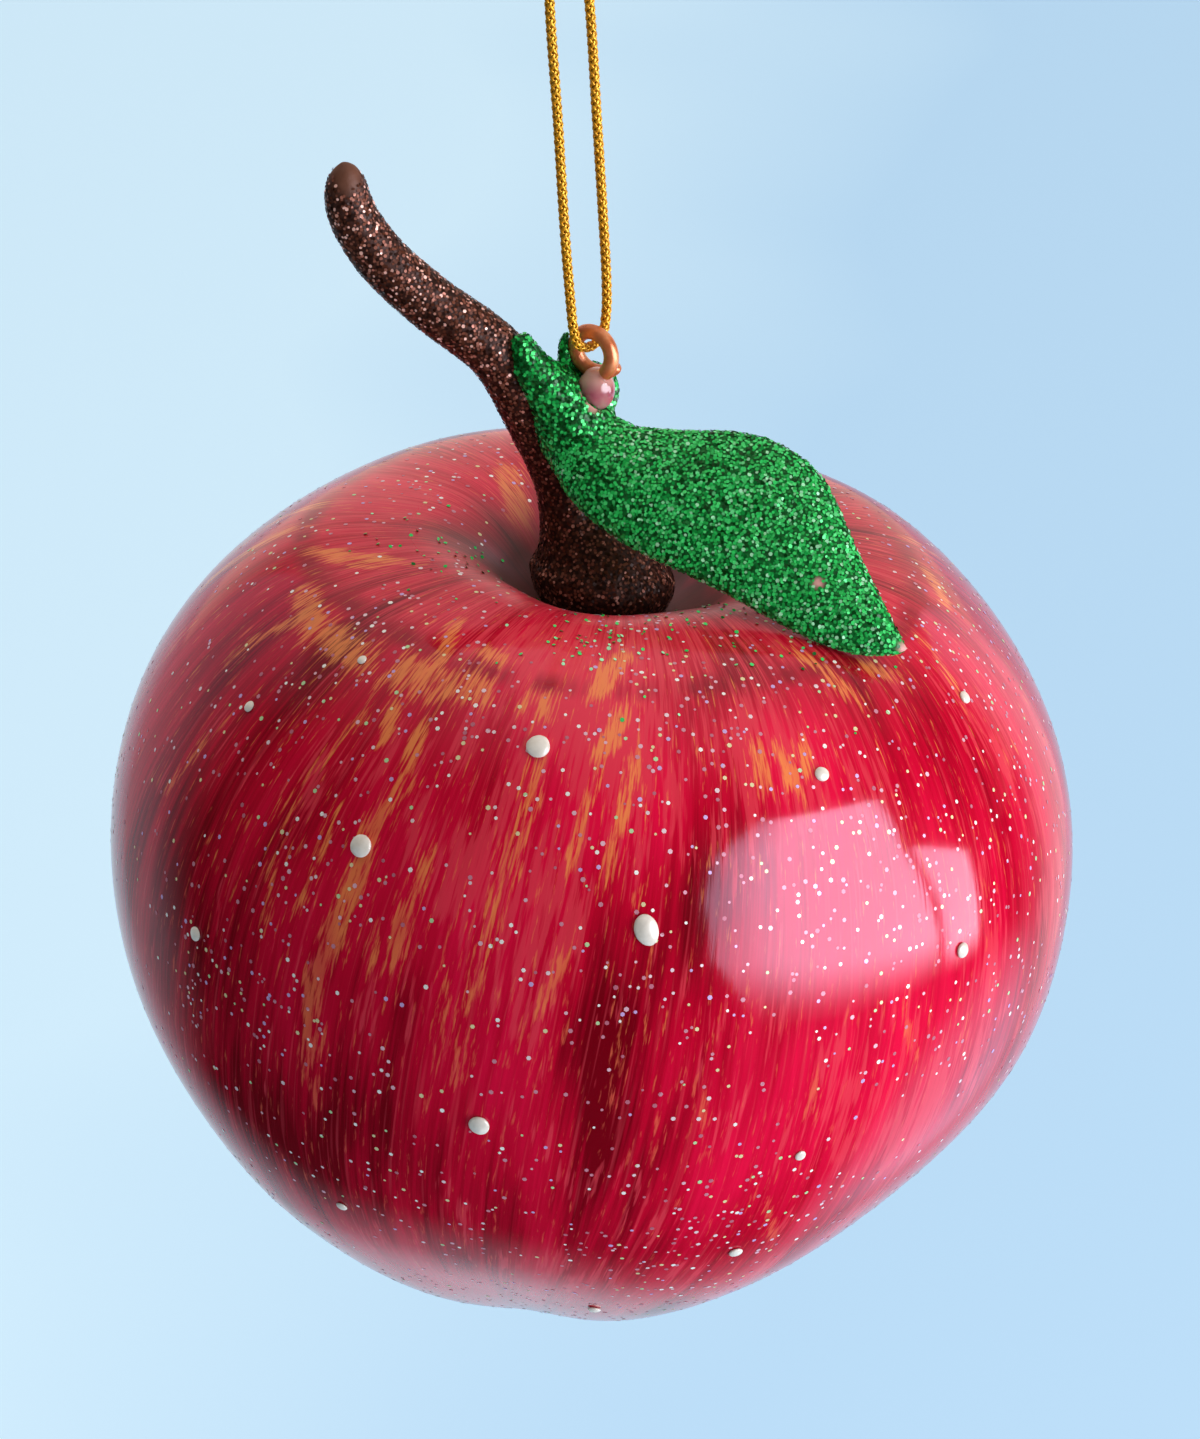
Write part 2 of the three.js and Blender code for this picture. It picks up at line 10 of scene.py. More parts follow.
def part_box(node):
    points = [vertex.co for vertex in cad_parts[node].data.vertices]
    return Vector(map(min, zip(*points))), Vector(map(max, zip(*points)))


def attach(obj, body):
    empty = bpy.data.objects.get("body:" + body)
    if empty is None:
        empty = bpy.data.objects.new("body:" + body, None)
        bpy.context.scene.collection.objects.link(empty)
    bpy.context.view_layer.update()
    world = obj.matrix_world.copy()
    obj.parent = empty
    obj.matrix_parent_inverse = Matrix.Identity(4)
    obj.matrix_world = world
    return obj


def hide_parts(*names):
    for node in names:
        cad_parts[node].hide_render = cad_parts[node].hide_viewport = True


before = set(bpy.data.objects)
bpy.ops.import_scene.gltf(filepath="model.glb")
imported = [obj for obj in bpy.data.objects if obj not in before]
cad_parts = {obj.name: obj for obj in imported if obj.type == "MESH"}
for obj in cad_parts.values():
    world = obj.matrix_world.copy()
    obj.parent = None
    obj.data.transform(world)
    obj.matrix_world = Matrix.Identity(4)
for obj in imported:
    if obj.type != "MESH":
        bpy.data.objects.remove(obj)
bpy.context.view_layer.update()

mm = 0.001
scene = bpy.context.scene
scene.view_settings.view_transform = "Standard"


# A colour's linear value from its hex value.
def linear(hexColour):
    parts = [int(hexColour[i:i + 2], 16) / 255 for i in (1, 3, 5)]
    return [p / 12.92 if p <= 0.04045 else ((p + 0.055) / 1.055) ** 2.4 for p in parts] + [1.0]


# An input is a value, a socket or a node, and a node stands for the first of its outputs that is in use.
def setInputs(node, inputs):
    for key, value in inputs.items():
        if isinstance(value, bpy.types.Node):
            value = next(socket for socket in value.outputs if socket.enabled)
        if isinstance(value, bpy.types.NodeSocket):
            node.id_data.links.new(value, node.inputs[key])
        else:
            node.inputs[key].default_value = value


def addNode(tree, kind, inputs=None, **settings):
    node = tree.nodes.new(kind)
    for name, value in settings.items():
        setattr(node, name, value)
    setInputs(node, inputs or {})
    return node


def setStops(node, stops):
    ramp = node.color_ramp
    while len(ramp.elements) < len(stops):
        ramp.elements.new(1)
    for element, (place, colour) in zip(ramp.elements, stops):
        element.position = place
        element.color = linear(colour)
    return node


# The sum of values, each times its weight.
def summed(tree, *terms):
    total = 0.0
    for value, weight in terms:
        total = addNode(tree, "ShaderNodeMath", {0: value, 1: weight, 2: total}, operation="MULTIPLY_ADD")
    return total


# A cloudy pattern that stays on its piece, so many grains to the metre, and the colours it runs through.
def mottle(tree, scale, detail, stops):
    coords = addNode(tree, "ShaderNodeTexCoord").outputs["Object"]
    cloud = addNode(tree, "ShaderNodeTexNoise", {"Vector": coords, "Scale": scale, "Detail": detail})
    return cloud, setStops(addNode(tree, "ShaderNodeValToRGB", {"Fac": cloud}), stops)


def newMaterial(name):
    material = bpy.data.materials.new(name)
    material.use_nodes = True
    tree = material.node_tree
    tree.nodes.clear()
    shader = addNode(tree, "ShaderNodeBsdfPrincipled")
    addNode(tree, "ShaderNodeOutputMaterial", {"Surface": shader})
    return material, tree, shader


def newObject(name, data):
    made = bpy.data.objects.new(name, data)
    scene.collection.objects.link(made)
    return made


def newPiece(name, points, faces, material, smooth=True):
    mesh = bpy.data.meshes.new(name)
    mesh.from_pydata([tuple(p) for p in points], [], [tuple(f) for f in faces])
    mesh.materials.append(material)
    if smooth:
        mesh.shade_smooth()
    return newObject(name, mesh)


# Turns the faces outwards, and first merges points that lie closer than a distance, if one is given.
def outward(mesh, mergeWithin=0):
    made = bmesh.new()
    made.from_mesh(mesh)
    if mergeWithin:
        bmesh.ops.remove_doubles(made, verts=made.verts, dist=mergeWithin)
    bmesh.ops.recalc_face_normals(made, faces=made.faces)
    made.to_mesh(mesh)
    made.free()


def storeNumbers(mesh, name, values, kind="FLOAT"):
    attribute = mesh.attributes.new(name, kind, "POINT")
    key = "value" if kind == "FLOAT" else "vector"
    attribute.data.foreach_set(key, np.asarray(values, np.float32).ravel())


def unit(v):
    return v / np.maximum(np.linalg.norm(v, axis=-1, keepdims=True), 1e-12)


# A smooth curve through points, as evenly spaced points with the directions there.
def curveThrough(points, count, between=60):
    p = np.asarray(points, float)
    p = np.vstack([2 * p[0] - p[1], p, 2 * p[-1] - p[-2]])
    dense = []
    for k in range(1, len(p) - 2):
        t0, t1, t2 = [math.sqrt(np.linalg.norm(p[k + j] - p[k + j - 1])) for j in (0, 1, 2)]
        m1 = ((p[k] - p[k - 1]) / t0 - (p[k + 1] - p[k - 1]) / (t0 + t1) + (p[k + 1] - p[k]) / t1) * t1
        m2 = ((p[k + 1] - p[k]) / t1 - (p[k + 2] - p[k]) / (t1 + t2) + (p[k + 2] - p[k + 1]) / t2) * t1
        u = np.linspace(0, 1, between, endpoint=False)[:, None]
        dense.append(p[k] * (1 + 2 * u) * (1 - u) ** 2 + m1 * u * (1 - u) ** 2
                     + p[k + 1] * u * u * (3 - 2 * u) + m2 * u * u * (u - 1))
    dense = np.vstack(dense + [p[-2:-1]])
    along = np.concatenate([[0], np.cumsum(np.linalg.norm(np.diff(dense, axis=0), axis=1))])
    at = np.linspace(0, along[-1], count)
    places = np.column_stack([np.interp(at, along, dense[:, i]) for i in range(3)])
    return places, unit(np.gradient(places, axis=0)), at


# Two directions across a curve that turn with it as little as they can.
def framesAlong(directions):
    first = np.cross(directions[0], [0.0, 1.0, 0.0])
    if np.linalg.norm(first) < 0.2:
        first = np.cross(directions[0], [1.0, 0.0, 0.0])
    across = [unit(first)]
    for d in directions[1:]:
        side = across[-1] - d * np.dot(across[-1], d)
        across.append(unit(side))
    across = np.array(across)
    return across, np.cross(directions, across)


# Rings of points closed into a tube, each end with a fan to its middle.
def tubeFaces(rings, first=0):
    count, sides = rings.shape[:2]
    i = np.arange(sides)
    j = (i + 1) % sides
    k = np.arange(count - 1)[:, None] * sides + first
    walls = np.stack([k + i, k + j, k + j + sides, k + i + sides], -1).reshape(-1, 4)
    ends = count * sides + first
    top = (count - 1) * sides + first
    fans = [(ends, first + b, first + a) for a, b in zip(i, j)]
    fans += [(ends + 1, top + a, top + b) for a, b in zip(i, j)]
    points = np.vstack([rings.reshape(-1, 3), rings[0].mean(0), rings[-1].mean(0)])
    return points, [list(map(int, f)) for f in walls] + [list(map(int, f)) for f in fans]


# Rings of points round a line, each an ellipse with these half widths across and over the line.
def ringsRound(line, across, over, wide, high, sides):
    angles = np.linspace(0, 2 * math.pi, sides, endpoint=False)
    return np.stack([line + across * (wide * math.cos(a)) + over * (high * math.sin(a)) for a in angles], 1)


# Camera: the photograph's, 0.45 m from the apple and 28 degrees above it
cameraPlace = {
    "apple": (2.556, -0.05, -88.198),  # middle of the apple, mm
    "distance": 450,
    "elevation": 28,
    "focalPixels": 5394.5,
    "imageSize": (1200, 1439),
    "applePixel": (-8.5, -112.4),  # where the apple's middle lies, from the image's middle
    "sensorHeight": 36,
}


def makeCamera(s):
    data = bpy.data.cameras.new("camera")
    data.sensor_fit = "VERTICAL"
    data.sensor_height = s["sensorHeight"]
    data.lens = s["focalPixels"] / s["imageSize"][1] * s["sensorHeight"]
    data.clip_start = 0.02
    data.clip_end = 60
    scene.camera = newObject("camera", data)
    tilt = math.radians(s["elevation"])
    ahead = Vector((0, math.cos(tilt), -math.sin(tilt)))
    scene.camera.location = (Vector(s["apple"]) - ahead * s["distance"]) * mm
    up = math.atan2(-s["applePixel"][1], s["focalPixels"])
    right = math.atan2(-s["applePixel"][0], s["focalPixels"])
    scene.camera.rotation_euler = (math.pi / 2 - tilt + up, 0, -right)


makeCamera(cameraPlace)
print("camera: made")


# Cord: braided metallic gold thread, so it glints in short slanting pieces with dark gaps between them, their
# darkness painted shade on the core
cordLook = {
    "thread": "#c98a10",
    "threadLight": "#f2b62a",
    "core": "#3a2204",
    "grains": 2.6,  # to the mm
    "diameter": 0.8 * mm,
    "pitch": 2.6 * mm,  # one turn of a strand
    "strandWidth": 0.3 * mm,
    "strandThickness": 0.14 * mm,
    "weave": 0.045 * mm,  # how far a strand rises over the ones it crosses
    "fullness": 1.08,
    "length": 0.0915,
    "steps": 920,
}
# From the knot down the front, through the ring and up the back; the same points as the solid's, in metres
cordRoute = [
    (-0.0003, -0.00026, 0.0001), (-0.00055, -0.0006, -0.0036), (-0.00085, -0.001, -0.0094),
    (-0.00068, -0.0012, -0.0158), (-0.00008, -0.0014, -0.0252), (0.0004, -0.0016, -0.0338),
    (0.00086, -0.00172, -0.04), (0.00108, -0.00178, -0.0422), (0.00148, -0.00136, -0.0437),
    (0.00242, -0.00034, -0.04424), (0.00334, 0.0007, -0.0437), (0.00366, 0.00118, -0.0422),
    (0.0037, 0.00132, -0.0394), (0.00335, 0.0014, -0.0326), (0.00295, 0.00135, -0.0258),
    (0.00235, 0.0012, -0.0158), (0.0017, 0.0009, -0.0094), (0.00095, 0.00055, -0.0036),
    (0.00055, 0.00026, 0.0001),
]


def goldThread(s):
    # Metal film on thread: bright and a little rough, and dark where the core shows, that dark colour painted
    # shade in the gaps
    material, tree, shader = newMaterial("braided_metallic_gold_thread")
    strand = addNode(tree, "ShaderNodeAttribute", attribute_name="strand").outputs["Fac"]
    grain, film = mottle(tree, s["grains"] / mm, 2, [(0.3, s["thread"]), (0.7, s["threadLight"])])
    colour = addNode(tree, "ShaderNodeMix", {0: strand, 6: linear(s["core"]), 7: film}, data_type="RGBA")
    bump = addNode(tree, "ShaderNodeBump", {"Height": grain, "Strength": 0.5, "Distance": 0.06 * mm})
    setInputs(shader, {"Base Color": colour, "Normal": bump, "Metallic": 0.4, "Roughness": 0.34})
    return material


# Eight strands, four each way round, each over one and under the next, on a core coloured dark as painted
# shade in the gaps.
def braid(route, s, size):
    places, directions, at = route
    across, over = framesAlong(directions)
    turn = 2 * math.pi * at / (s["pitch"] * size)
    width, thick, weave = s["strandWidth"] * size, s["strandThickness"] * size, s["weave"] * size
    middle = s["diameter"] / 2 * size - weave - thick / 2
    tubes = []
    for way in (1, -1):
        for k in range(4):
            angle = way * turn + k * math.pi / 2
            radius = middle + way * weave * np.cos(4 * turn)
            out = across * np.cos(angle)[:, None] + over * np.sin(angle)[:, None]
            line = places + out * radius[:, None]
            side = unit(np.cross(unit(np.gradient(line, axis=0)), out))
            tubes.append((ringsRound(line, side, out, width / 2, thick / 2, 5), 1.0))
    core = middle - 0.3 * thick
    tubes.append((ringsRound(places, across, over, core, core, 8)[::4], 0.0))
    points, faces, shade = np.empty((0, 3)), [], []
    for rings, strand in tubes:
        tube, walls = tubeFaces(rings, len(points))
        points = np.vstack([points, tube])
        faces += walls
        shade += [strand] * len(tube)
    return points, faces, shade


gold = goldThread(cordLook)


def braidedPiece(name, points, faces, shade):
    piece = newPiece(name, points, faces, gold)
    storeNumbers(piece.data, "strand", shade)
    outward(piece.data)
    return piece


def makeCord(s):
    route = curveThrough(cordRoute, s["steps"])
    print("cord: %.1f mm from knot to knot" % (route[2][-1] / mm))
    return braidedPiece("gold_cord_loop", *braid(route, s, s["fullness"])), [tuple(p) for p in route[0][::8]]


# Knot: an overhand knot in the doubled cord, its two cut ends above it, on the solid's own route, in mm
knotShape = {
    "core": 1.8, "turn": 0.8, "strand": 0.55, "seatGap": 0.3, "tail": 4.2, "opening": 14, "shift": 1.56,
    "lead": 1, "leadDepth": 0.8, "entryGap": 0.1, "apart": 0.27, "turnSteps": 54,
    "size": 0.72,  # of the cord's own, drawn tight
    "twist": 9,  # for one turn of the two cords round each other
    "spread": 0.5, "spreadOver": 4,  # how much further apart the ends get, and over what length
    "steps": 300,
}


def knotRoute(s):
    middle = s["seatGap"] + s["core"] + s["turn"] + s["strand"]
    points = [(0, 0, s["seatGap"] + s["entryGap"]), (s["lead"], -s["leadDepth"], (s["seatGap"] + middle) / 2)]
    opening = math.radians(s["opening"])
    for k in range(s["turnSteps"] + 1):
        turn = opening + k / s["turnSteps"] * 2 * (math.pi - opening)
        out = s["core"] + s["turn"] * math.cos(3 * turn)
        points.append((out * math.cos(2 * turn) - s["shift"], -s["turn"] * math.sin(3 * turn),
                       out * math.sin(2 * turn) + middle))
    points.append((s["lead"], s["leadDepth"], 1.5 * middle - 0.5 * s["seatGap"]))
    points.append((0, 0, 2 * middle - s["seatGap"] + s["tail"]))
    return np.array(points) * mm


def makeKnot(s):
    places, directions, at = curveThrough(knotRoute(s), s["steps"])
    across, over = framesAlong(directions)
    twist = 2 * math.pi * at / (s["twist"] * mm)
    out = across * np.cos(twist)[:, None] + over * np.sin(twist)[:, None]
    loose = s["spreadOver"] * mm
    apart = s["apart"] * mm * (1 + s["spread"] * np.clip((at - at[-1] + loose) / loose, 0, 1))
    points, faces, shade = np.empty((0, 3)), [], []
    for way in (1, -1):
        line = places + out * (way * apart)[:, None]
        strands, walls, part = braid((line, unit(np.gradient(line, axis=0)), at), cordLook, s["size"])
        faces += [[f + len(points) for f in wall] for wall in walls]
        points = np.vstack([points, strands])
        shade += part
    return braidedPiece("gold_cord_knot", points, faces, shade)


cord, cordPath = makeCord(cordLook)
knot = makeKnot(knotShape)
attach(cord, "cord")
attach(knot, "cord")
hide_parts("hanging_cord")
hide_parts("cord_knot")


# Apple: the same outline as the solid's, in mm about the apple's own middle, much finer
appleShape = {
    "equatorRadius": 40, "shoulderHeight": 27.1, "shoulderRadius": 17, "dimpleDepth": 6.9,
    "dimpleFloorRadius": 4.6, "blowHoleRadius": 3, "baseDepth": 41.5, "baseRimRadius": 9.2, "calyxDepth": 2.4,
    "wall": 1.2, "leanDegrees": 4.1, "lobeCount": 5, "lobeDegrees": 5.1, "baseSwell": 0.08,
    "shoulderSwell": 0.037, "baseLevel": 0.08, "baseLevelPower": 6,
    "sides": 440, "outerRings": 190, "innerRings": 24,
}


def appleOutline(s, count):
    e, d, b = s["equatorRadius"], s["shoulderHeight"], s["baseDepth"]
    r, dip, rim = s["shoulderRadius"], s["dimpleDepth"], s["baseRimRadius"]
    points = [
        (0, s["calyxDepth"] - b), (0.5 * rim, 0.45 * s["calyxDepth"] - b), (rim, -b), (0.325 * e, -0.958 * b),
        (0.583 * e, -0.7735 * b), (0.802 * e, -0.561 * b), (0.956 * e, -0.299 * b), (e, 0),
        (0.954 * e, 0.377 * d), (0.827 * e, 0.705 * d), (0.638 * e, 0.94 * d), (r, d),
        (0.824 * r, d - 0.05 * dip), (0.676 * r, d - 0.21 * dip), (0.56 * r, d - 0.43 * dip),
        (0.47 * r, d - 0.67 * dip), (0.37 * r, d - 0.88 * dip),
        (s["dimpleFloorRadius"], d - 0.985 * dip), (s["blowHoleRadius"], d - dip),
    ]
    places, directions, at = curveThrough([(x, 0, z) for x, z in points], count)
    return places[:, [0, 2]], directions[:, [0, 2]], at


def appleSwell(azimuth, radius, height, s):
    share = np.sin(np.arctan2(height, radius)) ** 2
    amount = np.where(height < 0, s["baseSwell"], -s["shoulderSwell"])
    return 1 + amount * share * np.cos(s["lobeCount"] * (azimuth - math.radians(s["lobeDegrees"])))


# Points of the apple at azimuths and places of its outline, in the part's frame and in metres.
def applePoints(azimuth, radius, height, s):
    wide = radius * appleSwell(azimuth, radius, height, s)
    x, y = wide * np.cos(azimuth), wide * np.sin(azimuth)
    low = np.where(height < 0, np.abs(np.sin(np.arctan2(height, radius))) ** s["baseLevelPower"], 0)
    z = height + s["baseLevel"] * low * x
    lean = math.radians(s["leanDegrees"])
    place = [x * math.cos(lean) + z * math.sin(lean), y, z * math.cos(lean) - x * math.sin(lean)]
    return (np.stack(place, -1) + np.array(cameraPlace["apple"])) * mm


lacquerLook = {
    "deep": "#780012",
    "crimson": "#c2042c",
    "bright": "#e60e42",
    "salmon": "#ea4658",
    "orangeDeep": "#e8624c",
    "orange": "#fc9c54",
    "band": "#6c000e",  # the dark brushed band inside the shoulder's ring
    "floor": "#59443f",  # bare pinkish brown round the stem
    "glossTint": "#ffdcf6",  # what shines back is a little pink
    # widths in mm: a hair of the brush, a brush load, a broad patch, a bristle and its patch, a lone hair,
    # a comb's tooth, and the places where the orange is paler
    "hair": 0.24, "load": 2.4, "patch": 9, "bristle": 0.3, "bristlePatch": 2.6, "loneHair": 0.18,
    "comb": 0.2, "paler": 1.2,
    # mm from the blowing hole between which each comes in
    "fanFrom": (25.5, 22), "bandFrom": (22.6, 24), "bandTo": (25.6, 24.6),
    "floorFrom": (18, 10), "dullFrom": (21, 13),
    "shine": 0.09, "dull": 0.36,  # roughness outside the dimple and down in it
    "girth": 25,  # mm from the middle at which the streaks have these widths
    "lean": 0.0027,  # how far the strokes lean off the meridians, radians a mm
    "uprightAt": 30,  # mm from the blowing hole where they don't
    "waver": 0.012, "waverAround": 4, "waverAlong": 0.05,  # how much they waver, and how fast that changes
    "tail": 3.2,  # mm over which a stroke runs dry
}
# Where the lacquer is thin and salmon (+) or thick and deep (-), the deep places low on the left partly
# painted shade: azimuth, mm from the hole, reach of both
toneAreas = [
    (-92, 28.8, 14, 6, 1.8), (-99.5, 24.6, 10, 5, 1.5), (-107, 19.2, 14, 4, 1.2), (-104.5, 42.6, 5, 9, 1),
    (-97, 47, 4, 12, 0.8), (-110, 40.8, 5, 7, 0.7), (-118, 33, 6, 6, 0.5), (163, 16.5, 22, 7, 0.9),
    (-64, 28.5, 9, 5, 1.3), (-82, 21, 16, 5, 1.2), (-84, 35, 14, 6, 0.8), (-61.5, 31.5, 6, 4, 0.6),
    (-17, 34.5, 9, 9, 0.9), (-29.5, 40, 4, 10, 0.7), (-35.5, 52.6, 6, 9, 0.8), (-24.5, 27, 9, 5, 0.6),
    (-52, 59.2, 9, 8, 0.4), (20, 40, 14, 18, 0.5), (100, 38, 16, 14, 0.8), (60, 55, 12, 16, 0.7),
    (150, 50, 14, 14, 0.6), (-79.5, 41, 5, 9, -0.6), (-84, 61.3, 5, 5, -0.6), (-89, 55.9, 5, 5, -0.6),
    (-135, 57.7, 9, 10, -1), (-146, 52, 7, 12, -0.8), (-126, 70, 12, 8, -1), (-50, 66, 14, 9, 1),
    (-31, 50, 3, 12, -0.6), (-48, 26.5, 12, 4, -0.6), (-58, 33, 8, 4, 0.6), (-71, 23.5, 8, 4, -1),
    (-149, 35.1, 10, 7, -0.4), (-109, 62.2, 10, 6, -0.7), (40, 45, 5, 18, -0.9), (125, 52, 8, 16, -0.9),
    (80, 60, 5, 14, -0.8), (-60, 75, 25, 8, -0.4), (-92, 53, 3.5, 9, -0.7), (-146, 41, 9, 6, 0.7),
]

# Orange strokes where the brush was fullest: azimuth and mm from the hole at each end, width, strength
strokes = [
    (-119, 30.9, -118.5, 36, 0.9, 0.8), (-118.5, 36, -120.5, 39.3, 1.1, 0.8),
    (-120.5, 39.3, -120.5, 43.6, 1.3, 0.9), (-120.5, 43.6, -121.5, 47.5, 1.5, 1),
    (-121.5, 47.5, -123, 51.7, 1.6, 1), (-123, 51.7, -123.5, 55.6, 1.5, 1),
    (-123.5, 55.6, -123.5, 59.8, 1.3, 0.8), (-125, 30.3, -124, 32.4, 1, 0.9),
    (-129.5, 31.8, -132.5, 38.4, 0.5, 0.6), (-132.5, 38.4, -132.5, 44.8, 0.6, 0.6),
    (-132.5, 44.8, -131.5, 49, 0.5, 0.5), (-126, 39, -127, 46.6, 0.5, 0.6),
    (-112.5, 41.1, -113.5, 44.8, 1, 0.8), (-113.5, 44.8, -113.5, 48.1, 1.1, 1),
    (-101, 35.4, -102.5, 40.2, 1.2, 0.6), (-102.5, 40.2, -103.5, 46.9, 1.6, 0.55),
    (-103.5, 46.9, -104.5, 55.6, 1.2, 0.5), (-104.5, 55.6, -105.5, 57.7, 1, 0.5),
    (-100.5, 31.2, -102, 36, 1.1, 0.6), (-93, 33.6, -94.5, 38.7, 0.6, 0.7),
    (-89, 26.7, -91.5, 29.7, 1.1, 1), (-86.5, 30, -88, 33.3, 0.8, 0.8), (-88, 33.3, -89.5, 38.7, 0.8, 0.8),
    (-94.5, 46.6, -96, 49.3, 1, 0.8), (-96, 49.3, -97.5, 52.3, 0.8, 0.7), (-94, 52, -96, 55.9, 0.8, 0.4),
    (-87, 52.3, -88, 58, 0.8, 0.4), (-116.5, 47.2, -116, 50.5, 0.8, 0.6),
    (-122, 57.4, -122.5, 63.7, 0.6, 0.6), (-107, 49.9, -107.5, 56.2, 0.6, 0.5),
    (-82.5, 59.2, -82.5, 62.5, 0.4, 0.7), (-68, 30.3, -68, 32.7, 0.9, 1), (-64, 30.9, -63.5, 33.3, 0.9, 1),
    (-60.5, 30.6, -61, 32.1, 0.8, 0.9), (-92.5, 23.4, -89, 20.4, 1.3, 1), (-50.5, 23.1, -48, 27, 1, 0.8),
    (3, 25.8, -6, 27, 1.2, 0.9), (-41, 25.2, -38, 26.7, 1, 0.8), (-24.5, 27, -26.5, 31.2, 0.5, 0.6),
    (-169, 22.8, -159, 18.3, 1.3, 0.9), (-165.5, 22.5, -158.5, 20.1, 1, 0.8),
    (-126.5, 21, -122.5, 24.9, 1, 0.9), (-117, 22.2, -111, 22.8, 1.3, 0.8), (-93, 24.3, -91, 21.9, 1.6, 1),
    (127, 13.8, 137, 9.9, 2.2, 0.9), (-158.5, 33, -154.5, 28.2, 0.6, 0.7),
    (-129.5, 28.2, -128.5, 26.4, 0.8, 0.8), (-155, 45.1, -151, 38.4, 0.5, 0.6),
    (-52.5, 53.2, -50, 58, 0.5, 0.7), (-64, 57.1, -64, 60.1, 0.6, 0.7), (-42.5, 54.1, -42, 58, 0.5, 0.6),
    (-67.5, 68.8, -64.5, 74.5, 0.5, 0.7), (-78, 56.8, -76.5, 62.5, 0.6, 0.4),
]
# Short dabs along the shoulder's ring: azimuth at each end, mm from the hole at each end, strength
ringDabs = [
    (-159, -156, 25.8, 27, 1), (-155, -153, 26.1, 27.6, 1), (-151.5, -149.5, 26.4, 27.9, 1),
    (-147, -145, 26.7, 28.2, 1), (-143.5, -141.5, 26.7, 28.2, 1), (-139.5, -137.5, 26.7, 28.2, 1),
    (-136.5, -134.5, 26.7, 28.2, 0.8), (-127.5, -126.5, 26.1, 27.9, 1), (-124.5, -123, 26.1, 27.9, 1),
    (-122, -120, 25.8, 27.9, 0.9), (-118.5, -117.5, 25.8, 27.3, 0.8), (-115.5, -114.5, 25.5, 27, 1),
    (-113, -112, 25.5, 27, 0.9), (-104.5, -104.5, 25.5, 27, 0.7), (-101.5, -101.5, 25.5, 27.3, 0.7),
]
dabs = {"width": 1.5, "strength": 0.9}
backStrokes = {
    "seed": 7, "count": 46, "azimuth": (8, 190), "arc": (24, 62), "length": (3, 15), "width": (0.5, 1.5),
    "strength": (0.5, 1), "lean": 0.155,  # degrees a mm
}


# How far round each azimuth lies from one that is given in degrees, within half a turn each way.
def turnFrom(azimuth, degrees):
    return (azimuth - math.radians(degrees) + math.pi) % (2 * math.pi) - math.pi


# How full the brush was at each point, 0 to 1. A stroke fades sideways at once and runs dry along its length.
def strokePaint(azimuth, arc, girth, back, tail):
    paint = np.zeros_like(arc)
    marks = strokes + [(a, c, b, d, dabs["width"], dabs["strength"] * f) for a, b, c, d, f in ringDabs]
    pick = np.random.default_rng(back["seed"])
    for _ in range(back["count"]):
        a, c = pick.uniform(*back["azimuth"]), pick.uniform(*back["arc"])
        long = pick.uniform(*back["length"])
        marks.append((a, c, a - back["lean"] * long, c + long, pick.uniform(*back["width"]),
                      pick.uniform(*back["strength"])))
    for a, c, b, d, width, strength in marks:
        away = turnFrom(azimuth, (a + b) / 2)
        ahead = np.stack([math.radians(b - a) * girth, np.full_like(arc, d - c)], -1)
        long = np.linalg.norm(ahead, axis=-1)
        ahead = ahead / np.maximum(long, 1e-6)[..., None]
        place = np.stack([away * girth, arc - (c + d) / 2], -1)
        beyond = np.maximum(np.abs((place * ahead).sum(-1)) - long / 2, 0)
        aside = np.abs(place[..., 0] * ahead[..., 1] - place[..., 1] * ahead[..., 0])
        # a short stroke has a short tail
        dry = np.clip(1 - beyond / min(tail, 0.6 * (abs(d - c) + 1.2)), 0, 1)
        paint = np.maximum(paint, strength * np.clip(1.5 - aside / (0.5 * width + 0.2), 0, 1) * dry)
    return paint


def toneOf(azimuth, arc):
    tone = np.zeros_like(arc)
    for a, c, wide, long, amount in toneAreas:
        tone += amount * np.exp(-(turnFrom(azimuth, a) / math.radians(wide)) ** 2 - ((arc - c) / long) ** 2)
    return tone


